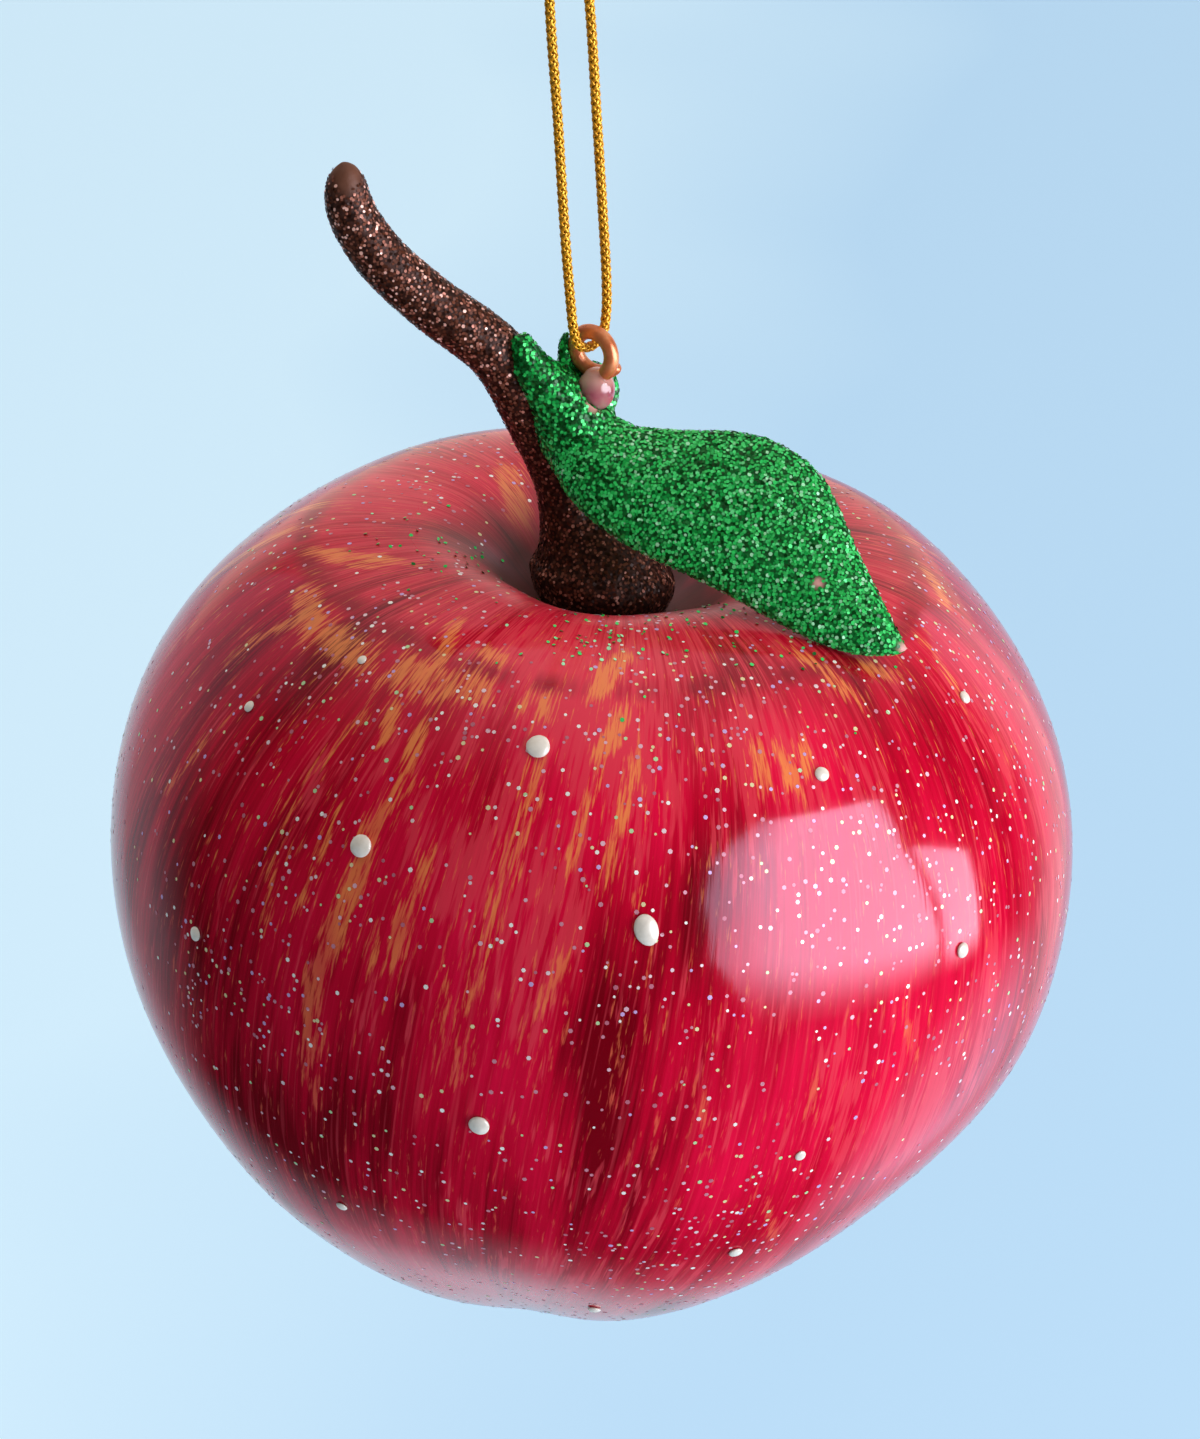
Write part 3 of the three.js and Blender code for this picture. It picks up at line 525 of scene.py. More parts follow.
def brushedLacquer(s):
    # Blown glass under hand-brushed tinted lacquer and a clear coat: fine streaks below a deep gloss
    material, tree, shader = newMaterial("brushed_red_lacquer_on_glass")
    brush = addNode(tree, "ShaderNodeAttribute", attribute_name="brush").outputs["Vector"]
    # mm from the blowing hole, how full the brush was, and how thin the lacquer is, with painted shade in the
    # deep places low on the left
    zone, paint, tone = [addNode(tree, "ShaderNodeAttribute", attribute_name=key).outputs["Fac"]
                         for key in ("zone", "paint", "tone")]

    # Streaks so many mm wide and so many times as long, others for each shift.
    def streaks(width, times, detail, shift=0):
        place = addNode(tree, "ShaderNodeMapping", {"Vector": brush, "Location": (shift, 0, 0),
                                                    "Scale": (1, 1, 1 / times)})
        return addNode(tree, "ShaderNodeTexNoise", {"Vector": place, "Scale": 1 / width, "Detail": detail,
                                                    "Roughness": 0.6})

    hairs, loads = streaks(s["hair"], 60, 2), streaks(s["load"], 12, 3, 40)
    patches, bristles = streaks(s["patch"], 2.2, 1, 90), streaks(s["bristle"], 20, 2, 17)
    depth = summed(tree, (patches, 0.3), (loads, 0.36), (hairs, 0.2), (tone, 0.08))
    ramp = addNode(tree, "ShaderNodeValToRGB", {"Fac": depth})
    reds = setStops(ramp, [(0.31, s["deep"]), (0.42, s["crimson"]), (0.56, s["bright"])])
    salmonLoad = summed(tree, (bristles, 1.1), (streaks(s["bristlePatch"], 4, 2, 63), 0.95), (tone, 0.15))
    fan = summed(tree, (bristles, 1), (hairs, 1))
    fill = summed(tree, (paint, 1), (streaks(s["comb"], 14, 3, 5), 3.6))
    lift = summed(tree, (streaks(s["paler"], 5, 2, 77), 1), (zone, -0.02))
    paler = addNode(tree, "ShaderNodeMapRange", {"Value": lift, 1: -0.65, 2: -0.15, 3: 0, 4: 1})
    warm = addNode(tree, "ShaderNodeMix", {0: paler, 6: linear(s["orangeDeep"]), 7: linear(s["orange"])},
                   data_type="RGBA")
    # Each layer's colour, and where it lies: values, the range over which each brings it in, and how far
    layers = [
        # salmon strokes: bristle marks in patches, and single hairs that run on alone
        (linear(s["salmon"]), [(salmonLoad, (1.15, 1.27), 0.55)]),
        (linear(s["salmon"]), [(streaks(s["loneHair"], 60, 0, 31), (0.64, 0.8), 0.3)]),
        # the dimple's sides are paler, in a fan of lines
        (linear(s["salmon"]), [(zone, s["fanFrom"], 1), (fan, (0.94, 1.16), 0.5)]),
        (linear(s["band"]), [(zone, s["bandFrom"], 1), (zone, s["bandTo"], 1), (loads, (0.42, 0.6), 0.6)]),
        # orange strokes: comb-like where the brush ran dry
        (warm, [(fill, (2.2, 2.75), 0.74)]),
        (linear(s["floor"]), [(summed(tree, (zone, 1), (patches, 8)), s["floorFrom"], 0.9)]),
    ]
    for colour, places in layers:
        share = 1.0
        for value, (low, high), most in places:
            part = addNode(tree, "ShaderNodeMapRange", {"Value": value, 1: low, 2: high, 3: 0, 4: most})
            share = addNode(tree, "ShaderNodeMath", {0: share, 1: part}, operation="MULTIPLY")
        reds = addNode(tree, "ShaderNodeMix", {0: share, 6: reds, 7: colour}, data_type="RGBA")
    bump = addNode(tree, "ShaderNodeBump", {"Height": hairs, "Strength": 0.2, "Distance": 0.03 * mm})
    start, end = s["dullFrom"]  # down in the dimple
    dull = addNode(tree, "ShaderNodeMapRange", {"Value": zone, 1: start, 2: end, 3: s["shine"], 4: s["dull"]})
    setInputs(shader, {"Base Color": reds, "Normal": bump, "Roughness": dull, "IOR": 1.54,
                       "Specular Tint": linear(s["glossTint"])})
    return material


def makeApple(s, look):
    line, _, at = appleOutline(s, s["outerRings"])
    inner, turned, _ = appleOutline(s, s["innerRings"])
    inner = inner + np.column_stack([-turned[:, 1], turned[:, 0]]) * s["wall"]
    inner[:, 0] = np.maximum(inner[:, 0], 0)
    inner[-1] = (s["blowHoleRadius"], s["shoulderHeight"] - s["dimpleDepth"] - s["wall"])
    profile = np.vstack([line[1:], inner[::-1][:-1]])
    azimuth = np.linspace(-math.pi, math.pi, s["sides"], endpoint=False)
    points, faces = tubeFaces(applePoints(azimuth[None, :], profile[:, :1], profile[:, 1:], s))
    points[-2:] = applePoints(np.zeros(2), np.zeros(2), np.array([line[0, 1], inner[0, 1]]), s)  # the poles
    apple = newPiece("glass_apple", points, faces, brushedLacquer(look))
    fromHole = at[-1] - np.concatenate([at[1:], np.linspace(at[-1], at[0], len(profile) - len(at) + 1)])
    wide = np.repeat(azimuth[None, :], len(profile), 0)
    arc = np.repeat(fromHole[:, None], s["sides"], 1)
    # the strokes lean a little off the meridians and hardly waver, so every eighth side is enough for that
    around, along = look["waverAround"], look["waverAlong"]
    waver = np.array([[noise.noise(Vector((around * math.cos(a), around * math.sin(a), d * along)))
                       for a in azimuth[::8]] for d in fromHole]).repeat(8, axis=1)
    turned = wide + (arc - look["uprightAt"]) * look["lean"] + look["waver"] * waver
    brush = np.stack([look["girth"] * np.cos(turned), look["girth"] * np.sin(turned), arc], -1).reshape(-1, 3)
    storeNumbers(apple.data, "brush", np.vstack([brush, [[0, 0, at[-1]]] * 2]), "FLOAT_VECTOR")
    girth = np.repeat(np.maximum(profile[:, :1], 1), s["sides"], 1)
    paint = strokePaint(wide, arc, girth, backStrokes, look["tail"])
    paint[len(line):] = 0
    outer = np.repeat(np.arange(len(profile))[:, None] < len(line) - 1, s["sides"], 1)
    numbers = {name: np.concatenate([grid.ravel(), [pole] * 2]) for name, grid, pole in (
        ("zone", arc, at[-1]), ("paint", paint, 0), ("tone", toneOf(wide, arc), 0), ("azimuth", wide, 0),
        ("outer", outer, 0))}
    for name in ("zone", "paint", "tone"):
        storeNumbers(apple.data, name, numbers[name])
    outward(apple.data)
    return apple, numbers["outer"], numbers["azimuth"], numbers["zone"]


apple, *appleSkin = makeApple(appleShape, lacquerLook)
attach(apple, "ornament")
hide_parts("glass_body")
print("apple: %d faces" % len(apple.data.polygons))


# Enamel dots, leaf and stem: copies of the solids, merged and made smooth
def mergedCopy(node, name):
    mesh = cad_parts[node].data.copy()
    outward(mesh, mergeWithin=0.002 * mm)
    mesh.name = name
    mesh.materials.clear()
    return newObject(name, mesh)


# The piece's mesh as its modifiers leave it, on a piece without them.
def applied(piece, name):
    bpy.context.view_layer.update()
    view = bpy.context.evaluated_depsgraph_get()
    final = piece.evaluated_get(view)
    mesh = bpy.data.meshes.new_from_object(final, preserve_all_data_layers=True, depsgraph=view)
    mesh.name = name
    bpy.data.objects.remove(piece)
    return newObject(name, mesh)


def smoothSkin(node, name, voxel, passes):
    piece = mergedCopy(node, name + "_rough")
    remesh = piece.modifiers.new("remesh", "REMESH")
    remesh.mode = "VOXEL"
    remesh.voxel_size = voxel
    remesh.use_smooth_shade = True
    soften = piece.modifiers.new("soften", "SMOOTH")
    soften.factor = 0.5
    soften.iterations = passes
    return applied(piece, name)


def meshPoints(mesh, key="co"):
    values = np.empty(len(mesh.vertices) * 3, np.float32)
    mesh.vertices.foreach_get(key, values)
    return values.reshape(-1, 3).astype(float)


# Where points of the part's frame fall on the photograph, in its own pixels.
def pixelOf(points):
    s = cameraPlace
    tilt = math.radians(s["elevation"])
    away = points / mm - np.array(s["apple"])
    depth = s["distance"] + away[:, 1] * math.cos(tilt) - away[:, 2] * math.sin(tilt)
    rise = away[:, 1] * math.sin(tilt) + away[:, 2] * math.cos(tilt)
    x = s["imageSize"][0] / 2 + s["applePixel"][0] + s["focalPixels"] * away[:, 0] / depth
    y = s["imageSize"][1] / 2 - s["applePixel"][1] - s["focalPixels"] * rise / depth
    return np.stack([x, y], -1)


# Flakes of hexagonal glitter: one tree scatters them over a skin where its cover attribute lets them lie
def flakeTree():
    tree = bpy.data.node_groups.new("scattered_flakes", "GeometryNodeTree")
    face = tree.interface
    face.new_socket("Geometry", in_out="INPUT", socket_type="NodeSocketGeometry")
    for name in ("Flake Width", "Flake Depth", "Closest", "Density", "Tilt", "Lift", "Size Spread"):
        face.new_socket(name, in_out="INPUT", socket_type="NodeSocketFloat")
    face.new_socket("Seed", in_out="INPUT", socket_type="NodeSocketInt")
    face.new_socket("Finish", in_out="INPUT", socket_type="NodeSocketMaterial")
    face.new_socket("Geometry", in_out="OUTPUT", socket_type="NodeSocketGeometry")
    given = addNode(tree, "NodeGroupInput").outputs
    cover = addNode(tree, "GeometryNodeInputNamedAttribute", {"Name": "cover"}, data_type="FLOAT")
    points = addNode(tree, "GeometryNodeDistributePointsOnFaces", {
        "Mesh": given["Geometry"], "Distance Min": given["Closest"], "Density Max": given["Density"],
        "Density Factor": cover, "Seed": given["Seed"]}, distribute_method="POISSON").outputs
    rise = addNode(tree, "FunctionNodeRandomValue", {2: 0.0, 3: given["Lift"], "Seed": 11}, data_type="FLOAT")
    shift = addNode(tree, "ShaderNodeVectorMath", {0: points["Normal"], "Scale": rise}, operation="SCALE")
    lifted = addNode(tree, "GeometryNodeSetPosition", {"Geometry": points["Points"], "Offset": shift})
    radius = addNode(tree, "ShaderNodeMath", {0: given["Flake Width"], 1: 0.5}, operation="MULTIPLY")
    flake = addNode(tree, "GeometryNodeMeshCone", {"Vertices": 6, "Radius Top": radius, "Radius Bottom": 0.0,
                                                   "Depth": given["Flake Depth"]})
    back = addNode(tree, "ShaderNodeMath", {0: given["Tilt"], 1: -1.0}, operation="MULTIPLY")
    low = addNode(tree, "ShaderNodeCombineXYZ", {0: back, 1: back, 2: 0.0})
    high = addNode(tree, "ShaderNodeCombineXYZ", {0: given["Tilt"], 1: given["Tilt"], 2: 2 * math.pi})
    lean = addNode(tree, "FunctionNodeRandomValue", {0: low, 1: high, "Seed": 12}, data_type="FLOAT_VECTOR")
    turn = addNode(tree, "FunctionNodeEulerToRotation", {0: lean})
    placed = addNode(tree, "FunctionNodeRotateRotation", {"Rotation": points["Rotation"], "Rotate By": turn},
                     rotation_space="LOCAL")
    least = addNode(tree, "ShaderNodeMath", {0: 1.0, 1: given["Size Spread"]}, operation="SUBTRACT")
    most = addNode(tree, "ShaderNodeMath", {0: 1.0, 1: given["Size Spread"]}, operation="ADD")
    size = addNode(tree, "FunctionNodeRandomValue", {2: least, 3: most, "Seed": 13}, data_type="FLOAT")
    scattered = addNode(tree, "GeometryNodeInstanceOnPoints", {
        "Points": lifted, "Instance": flake, "Rotation": placed, "Scale": size})
    shade = addNode(tree, "FunctionNodeRandomValue", {2: 0.0, 3: 1.0, "Seed": 14}, data_type="FLOAT")
    shaded = addNode(tree, "GeometryNodeStoreNamedAttribute", {
        "Geometry": scattered, "Name": "shade", "Value": shade}, data_type="FLOAT", domain="INSTANCE")
    real = addNode(tree, "GeometryNodeRealizeInstances", {"Geometry": shaded})
    done = addNode(tree, "GeometryNodeSetMaterial", {"Geometry": real, "Material": given["Finish"]})
    addNode(tree, "NodeGroupOutput", {"Geometry": done})
    return tree


flakes = flakeTree()


def scatter(skin, name, cover, finish, sizes):
    base = newObject(name + "_skin", skin.data.copy())
    storeNumbers(base.data, "cover", np.clip(cover, 0, 1))
    modifier = base.modifiers.new("flakes", "NODES")
    modifier.node_group = flakes
    given = {"Finish": finish, **sizes}
    for socket in flakes.interface.items_tree:
        if socket.in_out == "INPUT" and socket.name in given:
            modifier[socket.identifier] = given[socket.name]
    piece = applied(base, name)
    print("%s: %d flakes" % (name, len(piece.data.polygons) // 7))
    return piece


def flakeFoil(name, stops, roughness, metallic, gloss, toneReach=0.0):
    # Cut polyester foil: each hexagon is a tiny flat mirror, so neighbours differ and a few flash
    material, tree, shader = newMaterial(name)
    shade, tone = [addNode(tree, "ShaderNodeAttribute", attribute_name=key).outputs["Fac"]
                   for key in ("shade", "tone")]
    coords = addNode(tree, "ShaderNodeTexCoord").outputs["Object"]
    # a little duller in patches of about a millimetre
    grime = addNode(tree, "ShaderNodeTexNoise", {"Vector": coords, "Scale": 0.9 / mm, "Detail": 1})
    pick = summed(tree, (shade, 1), (grime, 0.08), (tone, toneReach))
    ramp = setStops(addNode(tree, "ShaderNodeValToRGB", {"Fac": pick}), stops)
    ramp.color_ramp.interpolation = "CONSTANT"
    rough = addNode(tree, "ShaderNodeMapRange", {"Value": grime, 1: 0.3, 2: 0.7,
                                                 3: roughness - 0.06, 4: roughness + 0.1})
    setInputs(shader, {"Base Color": ramp, "Roughness": rough, "Metallic": metallic,
                       "Specular IOR Level": gloss})
    return material


def lacquerUnder(name, s):
    # Tinted lacquer that the glitter was scattered on: dark, a little rough with grains sunk in it
    material, tree, shader = newMaterial(name)
    bare = addNode(tree, "ShaderNodeAttribute", attribute_name="bare").outputs["Fac"]
    grain, dark = mottle(tree, s["grains"] / mm, 3, [(0.35, s["under"][0]), (0.68, s["under"][1])])
    colour = addNode(tree, "ShaderNodeMix", {0: bare, 6: dark, 7: linear(s["bare"])}, data_type="RGBA")
    bump = addNode(tree, "ShaderNodeBump", {"Height": grain, "Strength": 0.5, "Distance": 0.1 * mm})
    setInputs(shader, {"Base Color": colour, "Normal": bump, "Roughness": 0.5, "Specular IOR Level": 0.2})
    return material


# Leaf: a blade of green glass under glitter, rubbed bare in a few spots
leafLook = {
    "under": ("#0a5524", "#148a3c"),
    "bare": "#e6aaa6",  # the pinkish glass where glitter has rubbed off
    "grains": 1.5,  # to the mm, in the lacquer
    "voxel": 0.24 * mm,
    "passes": 10,
    # px of the photograph and radius there: rubbed spots on the blade, the tip and the edge
    "rubbed": [(818, 583, 5), (905, 650, 7), (595, 403, 8), (586, 392, 5)],
    # px and reach there: painted shade where the flakes are darker, as on the sheath, and painted glints
    # where they flash
    "shadeAndGlints": [(535, 370, 34, -1.7), (568, 425, 26, -1.3), (625, 447, 26, 0.5), (610, 478, 18, -0.6),
              (700, 480, 40, -0.2), (790, 470, 50, 0.1), (800, 590, 60, 0.1), (600, 500, 24, -0.3),
              (750, 430, 40, -0.2)],
    "facing": 0.2,  # only faces that turn this far to the front have spots, painted shade and painted glints
    "flakes": {"Flake Width": 0.31 * mm, "Flake Depth": 0.06 * mm, "Closest": 0.18 * mm, "Density": 3.2e7,
               "Tilt": 0.34, "Lift": 0.05 * mm, "Size Spread": 0.25, "Seed": 3},
}
leafFoil = flakeFoil("green_foil_glitter", [  # tone lifts or dims each flake's colour as painted glints and painted shade, and the palest stops are partly painted glints
    (0, "#054a18"), (0.12, "#0a7430"), (0.26, "#1cb04e"), (0.44, "#30d666"), (0.68, "#4aea7e"),
    (0.92, "#72f29c"), (0.975, "#8ef8b0"), (1, "#aeffcc")], 0.22, 0.14, 0.3, 0.3)


def makeLeaf(s):
    skin = smoothSkin("leaf", "leaf_glass", s["voxel"], s["passes"])
    skin.data.materials.append(lacquerUnder("green_lacquer_on_glass", s))
    pixels = pixelOf(meshPoints(skin.data))
    facing = meshPoints(skin.data, "normal")[:, 1] < s["facing"]
    rubbed, tone = np.zeros(len(pixels)), np.zeros(len(pixels))
    for x, y, reach in s["rubbed"]:
        gap = np.hypot(pixels[:, 0] - x, pixels[:, 1] - y)
        rubbed = np.maximum(rubbed, np.where(facing, np.clip(1.6 - gap / reach, 0, 1), 0))
    # painted shade and painted glints, carried as the flakes' tone
    for x, y, reach, amount in s["shadeAndGlints"]:
        gap = np.hypot(pixels[:, 0] - x, pixels[:, 1] - y)
        tone += amount * np.exp(-(gap / reach) ** 2)
    storeNumbers(skin.data, "bare", rubbed)
    storeNumbers(skin.data, "tone", np.where(facing, tone, 0))
    return skin, scatter(skin, "leaf_glitter", 1 - rubbed, leafFoil, s["flakes"])


# Stem: brown glass under glitter, bare at its tip and round the foot's underside; lengths in mm
stemLook = {
    "under": ("#2c150f", "#502c21"),
    "bare": "#6e4636",
    "grains": 1.6,  # to the mm, in the lacquer
    "voxel": 0.25 * mm,
    "passes": 10,
    "bareTip": 1.3,
    "bareRim": 1.1,
    "tipTaper": 0.22,
    "tipRise": 0.65,  # by which the tip is drawn out
    "tipLength": 4.4,
    "plug": 2.3,  # the solid's plug and its seat, which lie below the foot
    "seat": 0.3,
    "paleFrom": 16,  # above the foot, from where the glitter lies paler
    "palerTop": 0.4,
    "tone": -0.2,
    "flakes": {"Flake Width": 0.27 * mm, "Flake Depth": 0.05 * mm, "Closest": 0.18 * mm, "Density": 2.4e7,
               "Tilt": 0.28, "Lift": 0.03 * mm, "Size Spread": 0.25, "Seed": 5},
}
# the palest stops are copper flakes painted bright, partly painted glints
stemFoil = flakeFoil("brown_foil_glitter", [
    (0, "#30180f"), (0.3, "#5a3122"), (0.6, "#845040"), (0.88, "#b07262"), (0.96, "#d89a88"),
    (0.99, "#ffcabc")], 0.3, 0.2, 0.2, 0.3)


def makeStem(s):
    skin = smoothSkin("stem", "stem_glass", s["voxel"], s["passes"])
    skin.data.materials.append(lacquerUnder("brown_lacquer_on_glass_stem", s))
    points = meshPoints(skin.data) / mm
    bottom, top = [corner[2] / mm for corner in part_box("stem")]
    nearTip = np.clip(1 - (top - points[:, 2]) / s["tipLength"], 0, 1)[:, None]
    middle = points[nearTip[:, 0] > 0.8].mean(0)
    points[:, :2] += (middle - points)[:, :2] * s["tipTaper"] * nearTip ** 1.5
    points[:, 2] += s["tipRise"] * nearTip[:, 0] ** 2
    skin.data.vertices.foreach_set("co", (points * mm).astype(np.float32).ravel())
    skin.data.update()
    tip = np.array([points[points[:, 2].argmax(), 0], 0, top])
    bareTip = np.clip(1.7 - np.linalg.norm((points - tip)[:, [0, 2]], axis=1) / s["bareTip"], 0, 1)
    rimHeight = bottom + s["plug"] + s["seat"]
    bareRim = np.clip(1.6 - (points[:, 2] - rimHeight) / s["bareRim"], 0, 1)
    bare = np.maximum(bareTip, bareRim)
    storeNumbers(skin.data, "bare", bare)
    paler = np.clip((points[:, 2] - points[:, 2].min()) / s["paleFrom"] - 1, 0, 1)
    storeNumbers(skin.data, "tone", paler * s["palerTop"] + s["tone"])
    return skin, scatter(skin, "stem_glitter", 1 - bare, stemFoil, s["flakes"])


leafSkin, leafGlitter = makeLeaf(leafLook)
stemSkin, stemGlitter = makeStem(stemLook)
for skin, glitter, node, slot in ((leafSkin, leafGlitter, "leaf", "green_glitter"),
                                  (stemSkin, stemGlitter, "stem", "brown_glitter")):
    for piece in (skin, glitter):
        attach(piece, "ornament")
    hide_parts(node)
print("crown: leaf and stem made")


# Glitter on the apple: sparse, in drifts, thicker over the top and to the right
appleGlitterLook = {
    "everywhere": 0.22, "right": 0.42, "top": 0.3, "drift": 0.9, "least": 0.04,
    "driftAround": 2.2, "driftAlong": 0.09,  # how fast the drifts change round the apple and down it
    "rightTurn": 0.5,  # radians by which its richest side lies off the x axis
    "topFrom": 58, "topReach": 40, "bare": 9,  # mm from the blowing hole, and bare round it
    "flakes": {"Flake Width": 0.32 * mm, "Flake Depth": 0.016 * mm, "Closest": 0.3 * mm, "Density": 6e5,
               "Tilt": 0.03, "Lift": 0.002 * mm, "Size Spread": 0.32, "Seed": 8},
}
appleFoil = flakeFoil("iridescent_film_glitter", [
    (0, "#c47088"), (0.2, "#d68ea6"), (0.4, "#ecbcd0"), (0.54, "#d2b0ec"), (0.66, "#f4dae6"),
    (0.76, "#ece2b0"), (0.85, "#c0e8b0"), (0.9, "#ffffff")], 0.3, 0.15, 0.5)


def appleCover(outer, azimuth, arc, s):
    around, along = s["driftAround"], s["driftAlong"]
    drift = np.array([noise.noise(Vector((around * math.cos(a), around * math.sin(a), d * along)))
                      for a, d in zip(azimuth[::4], arc[::4])]).repeat(4)[:len(azimuth)]
    right = 0.5 + 0.5 * np.cos(azimuth + s["rightTurn"])
    top = np.clip((s["topFrom"] - arc) / s["topReach"], 0, 1)
    cover = s["everywhere"] + s["right"] * right + s["top"] * top + s["drift"] * drift
    return outer * np.clip(cover, s["least"], 1) * (arc > s["bare"])


# Green flakes that fell off the leaf: where they lie, as azimuth and mm from the hole, with the reach of each
strayLook = {
    "places": [(-72, 15.5, 6), (-164, 12, 5), (-95, 18, 4), (-45, 16, 7)],
    "girth": 14,  # mm from the middle there
    "bare": 7,
    "flakes": {"Flake Width": 0.3 * mm, "Flake Depth": 0.05 * mm, "Closest": 0.25 * mm, "Density": 7e5,
               "Tilt": 0.5, "Lift": 0.05 * mm, "Size Spread": 0.3, "Seed": 21},
}


def strayCover(outer, azimuth, arc, s):
    amount = np.zeros(len(arc))
    for degrees, place, reach in s["places"]:
        gap = np.hypot(turnFrom(azimuth, degrees) * s["girth"], arc - place)
        amount = np.maximum(amount, np.exp(-(gap / reach) ** 2))
    return outer * amount * (arc > s["bare"])


appleGlitter = scatter(apple, "apple_glitter", appleCover(*appleSkin, appleGlitterLook), appleFoil,
                       appleGlitterLook["flakes"])
strays = scatter(apple, "stray_green_glitter", strayCover(*appleSkin, strayLook), leafFoil,
                 strayLook["flakes"])
for piece, slot in ((appleGlitter, "red_glass"), (strays, "green_glitter")):
    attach(piece, "ornament")


# Copper ring: one open turn of wire, its ends passing each other, drawn again with a round section
ringShape = {
    "centre": (2.76, -0.55, -44.70), "radius": 1.85, "wire": 0.62, "endLength": 0.37, "endShare": 0.5,
    "overlap": 20, "start": -50, "pitch": 1.5, "turn": 30, "steps": 160, "sides": 20,
}


def copperWire():
    # Copper wire under clear lacquer: warm orange, soft highlights and cloudy handling marks
    material, tree, shader = newMaterial("lacquered_copper_wire")
    tarnish, colour = mottle(tree, 0.7 / mm, 4, [(0.3, "#ca683c"), (0.55, "#e68a56"), (0.75, "#f4ae7c")])
    rough = addNode(tree, "ShaderNodeMapRange", {"Value": tarnish, 1: 0.3, 2: 0.7, 3: 0.24, 4: 0.42})
    bump = addNode(tree, "ShaderNodeBump", {"Height": tarnish, "Strength": 0.3, "Distance": 0.03 * mm})
    setInputs(shader, {"Base Color": colour, "Roughness": rough, "Normal": bump, "Metallic": 0.4,
                       "Coat Weight": 0.4, "Coat Roughness": 0.15})
    return material


def makeRing(s):
    turn, sweep = math.radians(s["turn"]), math.radians(360 + s["overlap"])
    right = np.array([math.cos(turn), -math.sin(turn), 0])
    back = np.array([math.sin(turn), math.cos(turn), 0])
    share = np.linspace(0, 1, s["steps"])[:, None]
    angle = math.radians(s["start"]) + sweep * share
    line = (np.array(s["centre"]) + right * s["radius"] * np.cos(angle)
            + back * s["pitch"] * sweep / (2 * math.pi) * (share - 0.5)
            + np.array([0, 0, s["radius"]]) * np.sin(angle)) * mm
    directions = unit(np.gradient(line, axis=0))
    across, over = framesAlong(directions)
    at = np.concatenate([[0], np.cumsum(np.linalg.norm(np.diff(line, axis=0), axis=1))]) / mm
    rounding = np.maximum(0, 1 - np.minimum(at, at[-1] - at) / s["endLength"])
    radius = (s["wire"] * mm * np.sqrt(1 - (1 - s["endShare"] ** 2) * rounding ** 2))[:, None]
    rings = ringsRound(line, across, over, radius, radius, s["sides"])
    ring = newPiece("copper_ring", *tubeFaces(rings), copperWire())
    outward(ring.data)
    return ring


# Bead: a blob of pink glass melted round the foot of the ring, drawn in to a collar above
beadShape = {
    "place": (2.9, -1.0, -47.63), "width": 3.0, "height": 3.6, "rings": 28, "sides": 36,
    # the collar: its radius, how high it starts, over what height it narrows, and its flare at the top
    "collar": 0.62, "collarAt": 0.74, "collarBelow": 0.28, "ballThere": 0.66, "collarTop": 1.15,
    "paleFrom": (-47.5, -46.4),  # the glass pales between these heights
}


def pinkGlass(s):
    # Solid tinted glass seen close by: light goes in a little way, so it looks milky with a bright highlight
    material, tree, shader = newMaterial("dusty_pink_glass")
    cloud, pink = mottle(tree, 0.42 / mm, 3, [(0.3, "#96465a"), (0.5, "#b45f72"), (0.72, "#cc8890")])
    coords = addNode(tree, "ShaderNodeTexCoord").outputs["Object"]
    height = addNode(tree, "ShaderNodeSeparateXYZ", {0: coords}).outputs["Z"]
    low, high = [h * mm for h in s["paleFrom"]]
    up = addNode(tree, "ShaderNodeMapRange", {"Value": height, 1: low, 2: high, 3: 0, 4: 1})
    colour = addNode(tree, "ShaderNodeMix", {0: up, 6: pink, 7: linear("#e2b2a8")}, data_type="RGBA")
    setInputs(shader, {"Base Color": colour, "Roughness": 0.08, "Subsurface Weight": 0.35,
                       "Subsurface Radius": (1.0, 0.45, 0.45), "Subsurface Scale": 1.2 * mm,
                       "Coat Weight": 0.6, "Coat Roughness": 0.03})
    return material


def makeBead(s):
    latitude = np.linspace(-math.pi / 2, math.pi / 2, s["rings"] + 2)[1:-1]
    height = np.sin(latitude)
    # the upper quarter is a narrower collar of glass that climbs the wire
    narrow = np.interp(height, [s["collarAt"] - s["collarBelow"], s["collarAt"], 1],
                       [1, s["collar"] / s["ballThere"], s["collarTop"]])
    radius = (np.cos(latitude) * narrow * s["width"] / 2)[:, None]
    line = np.outer(height * s["height"] / 2, [0, 0, 1])
    rings = ringsRound(line, np.array([1, 0, 0]), np.array([0, 1, 0]), radius, radius, s["sides"])
    bead = newPiece("pink_glass_bead", *tubeFaces((rings + np.array(s["place"])) * mm), pinkGlass(s))
    outward(bead.data)
    return bead


ring, bead = makeRing(ringShape), makeBead(beadShape)
for piece, node, slot in ((ring, "wire_ring", "copper_wire"), (bead, "hook_bead", "pink_glass")):
    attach(piece, "ornament")
    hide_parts(node)


# Enamel dots: drops of white enamel, each a little uneven, that lie on the lacquer
dotLook = {
    "sink": 0.27 * mm, "uneven": 0.07 * mm, "levels": 2,
    "lumps": 1.4, "apart": 0.3,  # lumps to the mm, and how fast they change from dot to dot
}


def whiteEnamel():
    # Relief enamel dried glossy: off-white, thinner and greyer in places
    material, tree, shader = newMaterial("raised_white_enamel")
    cloud, colour = mottle(tree, 1.1 / mm, 3, [(0.3, "#dcd9d0"), (0.6, "#f1efe8")])
    bump = addNode(tree, "ShaderNodeBump", {"Height": cloud, "Strength": 0.4, "Distance": 0.04 * mm})
    setInputs(shader, {"Base Color": colour, "Normal": bump, "Roughness": 0.28, "Coat Weight": 0.3})
    return material


